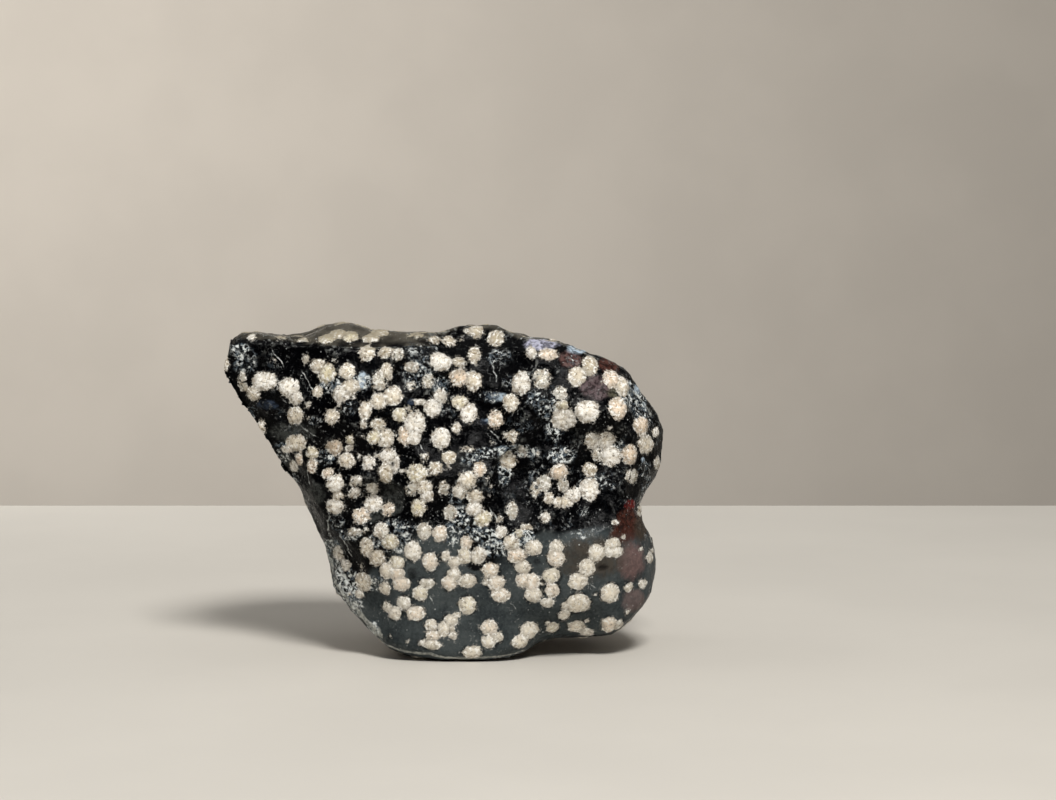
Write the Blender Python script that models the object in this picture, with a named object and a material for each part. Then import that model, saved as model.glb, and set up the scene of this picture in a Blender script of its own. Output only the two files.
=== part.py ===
"""Snowflake obsidian: one broken chunk of volcanic glass, standing on a flat of its lower edge.

Metres, +Z up. The broad broken face looks along -Y and the stone is widest along X. The origin
is on the ground, under the middle of the stone's bounding box.

The face and the skyline are laid out as they look from straight in front, in picture points
(across, down), with the depth of each point in millimetres, negative towards the viewer.
"""

import math
import random

import bmesh
import bpy
from mathutils import Matrix, Vector, noise
from mathutils.bvhtree import BVHTree
from mathutils.geometry import delaunay_2d_cdt

MM = 0.001

# Driving size of the stone
STONE_WIDTH = 0.120

# The view that the picture points belong to: its long lens in picture points, the point in the
# middle of the picture, how far it looks down, and how far it stands from the point it aims at
OUTLINE_ACROSS = 441.0
OUTLINE_DEPTH = -9.0
VIEW_FOCAL = 2493.3
VIEW_MIDDLE = (528.0, 400.0)
VIEW_PITCH = math.radians(5.0)
VIEW_DISTANCE = STONE_WIDTH / OUTLINE_ACROSS * VIEW_FOCAL - OUTLINE_DEPTH * MM
VIEW_AIM = Vector((0.0233, 0.0, 0.0678))

# Skyline: the far edge of the top face, left to right
SKYLINE = (
    (230, 333.5, -15), (240, 330, -9), (253, 330.3, 0), (272, 331.2, 8), (296, 333.5, 12),
    (312, 330.5, 14), (326, 325.2, 16), (344, 320.5, 17), (355, 323, 17), (369, 329.3, 16),
    (386, 330.8, 15), (405, 332, 15), (422, 330, 16), (438, 332.3, 16), (452, 326.2, 17),
    (463, 324.2, 17), (480, 323, 15), (500, 322.5, 12), (515, 328.5, 8), (531, 338.2, 2),
    (547, 337, -4), (566, 342, -9),
)

# Crest: the near edge of the top face, one point for each point of the skyline
CREST = (
    (236, 341, -19), (246, 337, -19.5), (257, 334.5, -19), (271, 338.5, -20), (288, 342.5, -20.5),
    (303, 343.5, -21), (318, 344, -21.5), (334, 345, -22), (350, 348, -22.5), (366, 348.5, -22.5),
    (383, 346, -22.5), (402, 345, -22.5), (422, 345, -22.5), (438, 346, -22), (453, 345, -20),
    (464, 334, -9), (482, 330, -3), (499, 331, -3), (509, 339, -12), (527, 343, -17),
    (545, 345, -18), (563, 349, -18),
)

# Right-hand edge, downwards
RIGHT_EDGE = (
    (583, 348, -11), (599, 355, -11), (615, 361.5, -11), (631, 373, -11), (637, 385, -10),
    (649, 397, -8), (659, 409, -6), (666, 427, -5), (665, 442, -5), (662, 456, -6),
    (660.5, 470, -7), (650, 486, -10), (640.5, 500, -13), (638, 509, -15), (644, 522, -15),
    (652, 534, -12), (656, 554, -10), (655.5, 580, -11), (650, 601, -13), (637, 615, -15),
    (623, 628.5, -16),
)

# Lower edge, right to left: the stretch between the two dips is the one that stands on the ground
LOWER_EDGE = (
    (611, 635.5, -16), (578, 637.5, -14), (556, 637.5, -15), (540, 641.5, -18), (528, 650, -21),
    (515, 656, -22), (495, 661, -23), (470, 663, -23), (444, 663, -23), (430, 659.5, -23),
    (405, 656, -22), (390, 649.5, -21),
)

# Left-hand edge, upwards
LEFT_EDGE = (
    (376, 636.5, -20), (358, 616, -18), (344, 602, -17), (329, 581, -16), (331, 568, -16),
    (321, 541, -15), (311, 516, -14), (300, 489, -13.5), (288, 474, -13), (279, 459, -13),
    (265, 435, -13), (256, 421.5, -13), (247, 408, -13), (231, 385, -13), (224, 370.5, -13),
    (221.8, 363, -13), (229, 354.5, -13), (229, 342, -14),
)

# Points of the broad face, row by row from the crest to the foot
UPPER_FACE = (
    (262, 354, -20.5), (300, 359, -22), (345, 361, -23.5), (395, 362, -24.5), (430, 361, -24),
    (466, 353, -17.5), (498, 353, -15), (530, 359, -20), (570, 366, -21), (603, 374, -21),
    (258, 381, -21.5), (292, 383, -23), (330, 385, -25.5), (372, 387, -27), (415, 386, -26.5),
    (455, 383, -25.5), (495, 386, -21.5), (525, 385, -24.5), (560, 389, -25), (600, 394, -24),
    (624, 400, -22),
)
MIDDLE_FACE = (
    (285, 413, -24), (320, 416, -26.5), (360, 415, -28.5), (405, 416, -29), (450, 413, -28.5),
    (490, 416, -27.5), (530, 413, -26.5), (570, 415, -28), (612, 417, -26), (641, 425, -20),
    (276, 425, -23.5), (326, 431, -28), (286, 448, -21.5), (330, 453, -26.5),
    (370, 446, -29.5), (412, 446, -30),
)
LEDGE = (
    (460, 435, -26.5), (500, 437, -25.5), (545, 437, -25), (590, 435, -26),
    (462, 451, -30), (505, 450, -30.5), (545, 449, -30), (592, 452, -29), (626, 452, -25),
    (300, 467, -23.5), (336, 471, -28), (378, 476, -31), (432, 476, -32), (468, 477, -32),
    (512, 479, -31.5), (556, 477, -30.5), (602, 477, -28), (637, 471, -21.5),
)
RECESS = (
    (312, 485, -24.5), (320, 515, -23.5), (382, 509, -28.5), (438, 510, -30.5),
    (478, 502, -31), (522, 505, -29), (572, 507, -28), (614, 506, -25), (628, 503, -22.5),
)
LOWER_FACE = (
    (346, 528, -28), (386, 525, -31.5), (430, 521, -33), (478, 517, -34), (526, 522, -33.5),
    (576, 524, -32), (617, 524, -28.5), (352, 557, -27), (400, 565, -31), (450, 562, -32),
    (505, 560, -32), (560, 562, -31), (610, 560, -28), (637, 560, -23), (370, 594, -26),
    (402, 605, -29), (450, 608, -30), (505, 606, -30), (560, 604, -29), (608, 600, -26),
)

# The rim of the face lies inside the edge and nearer the viewer
RIM_INSET = 2.2
RIM_STEP = 6.0

# What the rounding of the edge takes off again
EDGE_ALLOWANCE = 0.6

# The back: the edge shrunk about the foot, then a few high points (across, depth, height) in mm
BACK_SCALE = (0.84, 0.91)
BACK_FOOT = 6.0
BACK_RIM = 17.5
BACK_TAPER = 0.05
BACK_HIGH_POINTS = (
    (-33, 23.5, 68), (-8, 27, 71), (20, 28, 70), (39, 25, 58), (-18, 28.5, 50), (10, 31.5, 48),
    (33, 29, 38), (-8, 29, 30), (14, 29, 22), (34, 25, 17), (2, 24, 10),
)

# Hollows that blows left in the glass: place, width and depth in mm
FACE_HOLLOWS = (
    (284, 358, 20, 1.8), (254, 366, 12, 1.0), (320, 356, 12, 1.1), (305, 386, 14, 1.3),
    (345, 378, 13, 1.2), (268, 396, 11, 1.0), (372, 366, 12, 1.2), (398, 372, 13, 1.4),
    (425, 352, 12, 1.2), (362, 402, 15, 1.5), (330, 408, 11, 1.0), (446, 372, 12, 1.2),
    (476, 350, 17, 2.0), (500, 372, 14, 1.4), (490, 402, 18, 2.2), (540, 392, 17, 1.8),
    (556, 358, 13, 1.2), (585, 386, 15, 1.4), (612, 392, 12, 1.1), (640, 404, 11, 1.3),
    (396, 402, 13, 1.4), (425, 424, 16, 1.6), (350, 432, 13, 1.2), (385, 440, 12, 1.2),
    (300, 430, 16, 1.0), (478, 438, 20, 2.2), (528, 430, 17, 1.8), (582, 424, 14, 1.4),
    (610, 436, 15, 1.5), (637, 478, 12, 1.3), (350, 470, 13, 1.2),
    (400, 462, 14, 1.5), (440, 462, 13, 1.2), (452, 492, 12, 1.1), (494, 490, 14, 1.4),
    (532, 466, 13, 1.3), (575, 462, 12, 1.2), (612, 476, 15, 1.6), (590, 506, 18, 1.8),
    (530, 510, 16, 1.5), (342, 516, 13, 1.3), (378, 512, 12, 1.0), (455, 528, 12, 1.1),
    (498, 533, 12, 1.1), (545, 530, 12, 1.0), (336, 552, 11, 1.2), (345, 580, 12, 1.3),
    (360, 604, 13, 1.3), (376, 626, 11, 1.0), (292, 468, 10, 1.1), (264, 420, 9, 0.8),
)
BACK_HOLLOWS = (
    (-34, 70, 34, 3.0), (-4, 74, 38, 3.4), (26, 72, 28, 2.6), (-20, 46, 44, 4.2),
    (16, 50, 50, 5.0), (42, 48, 32, 3.2), (-2, 22, 36, 3.4), (30, 18, 36, 3.4),
    (-30, 30, 24, 2.0), (46, 28, 22, 2.0), (4, 34, 18, 1.8), (-14, 60, 14, 1.4),
    (32, 62, 16, 1.4), (16, 9, 18, 1.6), (-44, 76, 14, 1.2), (24, 32, 12, 1.1),
    (-6, 52, 10, 1.0), (44, 62, 12, 1.1),
)
SIDE_HOLLOWS = (
    ((-1, 0.2, 0), (0, 3, 66), 22, 1.9), ((-1, 0.1, -0.5), (0, 9, 44), 24, 2.2),
    ((-1, 0, -0.6), (0, 4, 22), 20, 1.8), ((-1, 0.4, -0.2), (0, 10, 78), 12, 1.1),
    ((1, 0.2, 0), (0, 9, 62), 20, 1.8), ((1, 0.1, 0), (0, 8, 36), 20, 1.9),
    ((1, 0, -0.5), (0, 6, 16), 18, 1.7), ((1, 0.3, 0.4), (0, 12, 76), 16, 1.5),
    ((0, 0, 1), (-38, -4, 80), 20, 1.3), ((0, 0, 1), (-8, -6, 80), 22, 1.6),
    ((0, 0, 1), (14, 4, 80), 16, 1.2), ((0, 0, 1), (-24, 8, 80), 13, 1.0),
    ((0, 0, 1), (34, 2, 80), 18, 1.4),
)

# A hollow is the bite of a squashed ball: its half-width and half-depth as shares of the
# hollow's own width and depth, how far it is stretched, and how far it leans
BALL_WIDTH_SHARE = 0.67
BALL_DEPTH_SHARE = 3.0
BALL_STRETCH = (1.0, 1.8)
BALL_LEAN = (math.radians(4), math.radians(17))
HOLLOW_SEED = 7
REACH = 0.3

# Uneven swell of the surface: wavelength and height in mm, and how much of it the smooth lower
# part of the broad face has
SWELLS = ((17.0, 0.7), (7.5, 0.45), (3.6, 0.2))
SMOOTH_FACE_SHARE = 0.3
SMOOTH_FACE_TOP = 35.0
SMOOTH_FACE_FADE = 4.0

# Surface: square sizes in mm before and after the hollows, smoothing passes, final triangles
CAGE_VOXEL = 1.3
STONE_VOXEL = 1.0
ROUNDING_PASSES = 4
RIDGE_PASSES = 1
SMOOTHING = 0.5
TRIANGLES = 9400

# Which triangles a sheet keeps: those inside its ring
INSIDE_ONLY = 1

# Points nearer than this to each other, or to a cutting plane, count as touching
TOUCHING = 1e-6

# Finish
GLASS_BLACK = (0.012, 0.012, 0.014, 1)
GLASS_ROUGHNESS = 0.16


def seen_at(across, down, depth):
    """The point in picture place (across, down) on the upright plane at this depth."""
    forward = Vector((0, math.cos(VIEW_PITCH), -math.sin(VIEW_PITCH)))
    upward = Vector((0, math.sin(VIEW_PITCH), math.cos(VIEW_PITCH)))
    eye = VIEW_AIM - forward * VIEW_DISTANCE
    slope = (down - VIEW_MIDDLE[1]) / VIEW_FOCAL
    ray = forward - upward * slope
    ray.x = (across - VIEW_MIDDLE[0]) / VIEW_FOCAL
    return eye + ray * ((depth * MM - eye.y) / ray.y)


def inward_at(ring, index):
    """The upright direction that points into a clockwise ring at one of its points."""
    before = ring[index - 1]
    after = ring[(index + 1) % len(ring)]
    along = Vector((after.x - before.x, 0, after.z - before.z)).normalized()
    return Vector((along.z, 0, -along.x))


def edge_points():
    """The stone's whole edge as it stands against the background, clockwise from the top left."""
    edge = [seen_at(*point) for point in SKYLINE + RIGHT_EDGE + LOWER_EDGE + LEFT_EDGE]
    allowance = EDGE_ALLOWANCE * MM
    return [point - inward_at(edge, index) * allowance for index, point in enumerate(edge)]


def rim_points(edge):
    """The rim of the broad face: the crest along the top, elsewhere the edge moved in and forward."""
    rim = [seen_at(*point) for point in CREST]
    for index in range(len(CREST), len(edge)):
        inset = inward_at(edge, index) * (RIM_INSET + EDGE_ALLOWANCE) * MM
        rim.append(edge[index] + inset - Vector((0, RIM_STEP * MM, 0)))
    return rim


def back_points(edge):
    """The edge shrunk about the foot and moved to the back, thinner towards the pointed left end."""
    foot = BACK_FOOT * MM
    ring = []
    for point in edge:
        across = foot + (point.x - foot) * BACK_SCALE[0]
        depth = BACK_RIM * MM + point.x * BACK_TAPER
        ring.append(Vector((across, max(depth, point.y + RIM_STEP * MM), point.z * BACK_SCALE[1])))
    return ring


def add_sheet(bm, ring, inner):
    """Fills a ring of vertices with triangles that pass through the inner points."""
    points = [vert.co for vert in ring] + inner
    flat = [Vector((point.x, point.z)) for point in points]
    loop = [(index, (index + 1) % len(ring)) for index in range(len(ring))]
    triangles = delaunay_2d_cdt(flat, loop, [], INSIDE_ONLY, TOUCHING)[2]
    verts = ring + [bm.verts.new(point) for point in inner]
    for triangle in triangles:
        bm.faces.new([verts[index] for index in triangle])


def add_band(bm, ring, next_ring):
    """Joins two rings that have the same number of vertices."""
    count = len(ring)
    for index in range(count):
        after = (index + 1) % count
        bm.faces.new((ring[index], ring[after], next_ring[after], next_ring[index]))


def make_cage():
    """The stone's main planes as a coarse closed mesh."""
    edge = edge_points()
    bm = bmesh.new()
    rings = []
    for points in (rim_points(edge), edge, back_points(edge)):
        rings.append([bm.verts.new(point) for point in points])
    rim, middle, back = rings
    face_rows = UPPER_FACE + MIDDLE_FACE + LEDGE + RECESS + LOWER_FACE
    add_sheet(bm, rim, [seen_at(*point) for point in face_rows])
    add_band(bm, rim, middle)
    add_band(bm, middle, back)
    add_sheet(bm, back, [Vector(point) * MM for point in BACK_HIGH_POINTS])
    bmesh.ops.recalc_face_normals(bm, faces=bm.faces)
    mesh = bpy.data.meshes.new("stone")
    bm.to_mesh(mesh)
    bm.free()
    stone = bpy.data.objects.new("stone", mesh)
    bpy.context.scene.collection.objects.link(stone)
    return stone


def apply_modifiers(stone):
    """Replaces the stone's mesh with the one that its modifiers make."""
    graph = bpy.context.evaluated_depsgraph_get()
    graph.update()
    finished = bpy.data.meshes.new_from_object(stone.evaluated_get(graph))
    stone.modifiers.clear()
    old = stone.data
    stone.data = finished
    bpy.data.meshes.remove(old)


def remesh(stone, voxel):
    """Rebuilds the surface in even squares of this size, as one closed skin."""
    modifier = stone.modifiers.new("Remesh", "REMESH")
    modifier.mode = "VOXEL"
    modifier.voxel_size = voxel * MM
    apply_modifiers(stone)


def smooth(stone, passes):
    """Takes the sharpness off ridges, a little with each pass."""
    bm = bmesh.new()
    bm.from_mesh(stone.data)
    for _ in range(passes):
        bmesh.ops.smooth_vert(
            bm, verts=bm.verts, factor=SMOOTHING, use_axis_x=True, use_axis_y=True, use_axis_z=True
        )
    bm.to_mesh(stone.data)
    bm.free()


def roughness_at(place, normal):
    """How far the surface swells here: less on the smooth lower part of the broad face."""
    if normal.y > 0:
        return 1
    rise = (place.z / MM - SMOOTH_FACE_TOP) / SMOOTH_FACE_FADE
    return SMOOTH_FACE_SHARE + (1 - SMOOTH_FACE_SHARE) * min(max(rise, 0), 1)


def swell(stone):
    """Gives the surface its uneven swell."""
    bm = bmesh.new()
    bm.from_mesh(stone.data)
    bm.normal_update()
    moves = []
    for vert in bm.verts:
        height = 0
        for wavelength, amount in SWELLS:
            height += amount * MM * noise.noise(vert.co / (wavelength * MM))
        moves.append(vert.normal * height * roughness_at(vert.co, vert.normal))
    for vert, move in zip(bm.verts, moves):
        vert.co += move
    bm.to_mesh(stone.data)
    bm.free()


def hollow_sites():
    """A start and a direction of sight for each hollow, with its width and depth."""
    sites = []
    for across, down, width, depth in FACE_HOLLOWS:
        start = seen_at(across, down, -REACH / MM)
        direction = (seen_at(across, down, 0) - start).normalized()
        sites.append((start, direction, width, depth))
    for across, height, width, depth in BACK_HOLLOWS:
        start = Vector((across * MM, REACH, height * MM))
        sites.append((start, Vector((0, -1, 0)), width, depth))
    for outward, target, width, depth in SIDE_HOLLOWS:
        out = Vector(outward).normalized()
        sites.append((Vector(target) * MM + out * REACH, -out, width, depth))
    return sites


def make_cutters(stone):
    """A squashed, stretched and leaning ball for each hollow, sunk in the surface by its depth."""
    bm = bmesh.new()
    bm.from_mesh(stone.data)
    surface = BVHTree.FromBMesh(bm)
    bm.free()
    spread = random.Random(HOLLOW_SEED)
    cutters = bpy.data.collections.new("hollow_cutters")
    bpy.context.scene.collection.children.link(cutters)
    for start, direction, width, depth in hollow_sites():
        place, normal, _, _ = surface.ray_cast(start, direction)
        if place is None:
            raise ValueError(f"no surface at {start}")
        half_width = width * BALL_WIDTH_SHARE * MM
        half_depth = depth * BALL_DEPTH_SHARE * MM
        centre = Matrix.Translation(place + normal * (half_depth - depth * MM))
        upright = normal.to_track_quat("Z", "Y").to_matrix().to_4x4()
        turn = Matrix.Rotation(spread.uniform(0, 2 * math.pi), 4, "Z")
        lean = Matrix.Rotation(spread.uniform(*BALL_LEAN), 4, "X")
        long_half = half_width * spread.uniform(*BALL_STRETCH)
        size = Matrix.Diagonal((long_half, half_width, half_depth, 1))
        ball = bmesh.new()
        bmesh.ops.create_icosphere(
            ball, subdivisions=3, radius=1, matrix=centre @ upright @ turn @ lean @ size
        )
        mesh = bpy.data.meshes.new("hollow")
        ball.to_mesh(mesh)
        ball.free()
        cutters.objects.link(bpy.data.objects.new("hollow", mesh))
    return cutters


def carve_hollows(stone):
    """Cuts every hollow out of the stone and removes the cutters."""
    cutters = make_cutters(stone)
    modifier = stone.modifiers.new("Hollows", "BOOLEAN")
    modifier.operation = "DIFFERENCE"
    modifier.operand_type = "COLLECTION"
    modifier.collection = cutters
    modifier.solver = "EXACT"
    apply_modifiers(stone)
    for cutter in list(cutters.objects):
        bpy.data.objects.remove(cutter)
    bpy.data.collections.remove(cutters)


def thin_out(stone):
    """Keeps the forms with far fewer triangles, larger where the surface is flat."""
    modifier = stone.modifiers.new("Decimate", "DECIMATE")
    modifier.ratio = TRIANGLES / (2 * len(stone.data.polygons))
    modifier.use_collapse_triangulate = True
    apply_modifiers(stone)


def cut_foot(stone):
    """Cuts the stone off flat at the ground, where it stands."""
    bm = bmesh.new()
    bm.from_mesh(stone.data)
    geometry = list(bm.verts) + list(bm.edges) + list(bm.faces)
    cut = bmesh.ops.bisect_plane(
        bm, geom=geometry, dist=TOUCHING, plane_co=(0, 0, 0), plane_no=(0, 0, 1), clear_inner=True
    )
    rim = [item for item in cut["geom_cut"] if isinstance(item, bmesh.types.BMEdge)]
    bmesh.ops.triangle_fill(bm, edges=rim, use_beauty=True, normal=(0, 0, -1))
    bmesh.ops.recalc_face_normals(bm, faces=bm.faces)
    bm.to_mesh(stone.data)
    bm.free()


def centre_on_ground(stone):
    """Puts the middle of the bounding box over the origin."""
    lowest = [min(vert.co[axis] for vert in stone.data.vertices) for axis in range(2)]
    highest = [max(vert.co[axis] for vert in stone.data.vertices) for axis in range(2)]
    middle = [(low + high) / 2 for low, high in zip(lowest, highest)]
    stone.data.transform(Matrix.Translation((-middle[0], -middle[1], 0)))


def obsidian():
    """Black volcanic glass."""
    material = bpy.data.materials.new("obsidian")
    material.use_nodes = True
    shader = material.node_tree.nodes["Principled BSDF"]
    shader.inputs["Base Color"].default_value = GLASS_BLACK
    shader.inputs["Roughness"].default_value = GLASS_ROUGHNESS
    shader.inputs["Metallic"].default_value = 0
    return material


def main():
    for thing in list(bpy.data.objects):
        bpy.data.objects.remove(thing)
    stone = make_cage()
    remesh(stone, CAGE_VOXEL)
    smooth(stone, ROUNDING_PASSES)
    swell(stone)
    carve_hollows(stone)
    remesh(stone, STONE_VOXEL)
    smooth(stone, RIDGE_PASSES)
    thin_out(stone)
    cut_foot(stone)
    centre_on_ground(stone)
    stone.data.materials.append(obsidian())
    for polygon in stone.data.polygons:
        polygon.use_smooth = False


main()
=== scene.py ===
"""The looks of a chunk of snowflake obsidian: its broken skin, its glass and snowflakes, and a plain stage.

Metres, +Z up. The broad broken face looks along -Y. Places on that face are given as they look
from straight in front, in picture points (across, down) of a picture 1056 points wide and 800
high; sizes there are in picture points too. Other small sizes are in millimetres where they are
multiplied by MM.
"""

import math
import random

import bmesh
import bpy
import numpy as np
from bpy.props import FloatProperty, FloatVectorProperty, IntProperty, PointerProperty
from bpy.types import Operator, Panel, PropertyGroup
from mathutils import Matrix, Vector, noise
from mathutils.bvhtree import BVHTree
from mathutils.kdtree import KDTree


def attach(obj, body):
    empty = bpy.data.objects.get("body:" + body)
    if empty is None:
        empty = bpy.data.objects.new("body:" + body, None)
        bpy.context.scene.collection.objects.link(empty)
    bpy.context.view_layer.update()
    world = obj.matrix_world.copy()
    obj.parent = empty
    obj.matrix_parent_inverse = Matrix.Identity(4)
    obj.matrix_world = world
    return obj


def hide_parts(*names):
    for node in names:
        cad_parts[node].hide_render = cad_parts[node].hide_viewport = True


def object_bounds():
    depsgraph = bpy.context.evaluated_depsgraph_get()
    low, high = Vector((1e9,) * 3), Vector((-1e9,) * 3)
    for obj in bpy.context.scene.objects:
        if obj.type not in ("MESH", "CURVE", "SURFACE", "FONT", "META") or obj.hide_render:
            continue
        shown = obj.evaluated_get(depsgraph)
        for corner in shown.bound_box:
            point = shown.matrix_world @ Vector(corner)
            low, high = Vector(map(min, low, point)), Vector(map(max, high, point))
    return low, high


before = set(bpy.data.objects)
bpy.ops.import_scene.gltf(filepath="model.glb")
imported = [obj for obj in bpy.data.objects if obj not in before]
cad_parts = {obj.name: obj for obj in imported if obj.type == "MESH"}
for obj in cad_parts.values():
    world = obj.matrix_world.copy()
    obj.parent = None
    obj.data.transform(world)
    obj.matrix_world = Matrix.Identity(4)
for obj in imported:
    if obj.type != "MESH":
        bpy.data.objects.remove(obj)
CAD_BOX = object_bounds()

bl_info = {
    "name": "Snowflake obsidian",
    "version": (1, 0, 0),
    "blender": (4, 5, 0),
    "location": "3D Viewport > Sidebar > Obsidian",
    "description": "Dresses a solid chunk of snowflake obsidian and sets it on a plain stage",
    "category": "Object",
}

MM = 0.001

# The view that the picture points belong to, which is also the camera's
PICTURE = (1056, 800)
LENS_MM = 85.0
SENSOR_MM = 36.0
FOCAL = LENS_MM / SENSOR_MM * PICTURE[0]
VIEW_PITCH = math.radians(5.0)
VIEW_DISTANCE = 0.68744
VIEW_AIM = Vector((0.0225, 0.0010, 0.0678))
FORWARD = Vector((0, math.cos(VIEW_PITCH), -math.sin(VIEW_PITCH)))
UPWARD = Vector((0, math.sin(VIEW_PITCH), math.cos(VIEW_PITCH)))
EYE = VIEW_AIM - FORWARD * VIEW_DISTANCE

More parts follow.
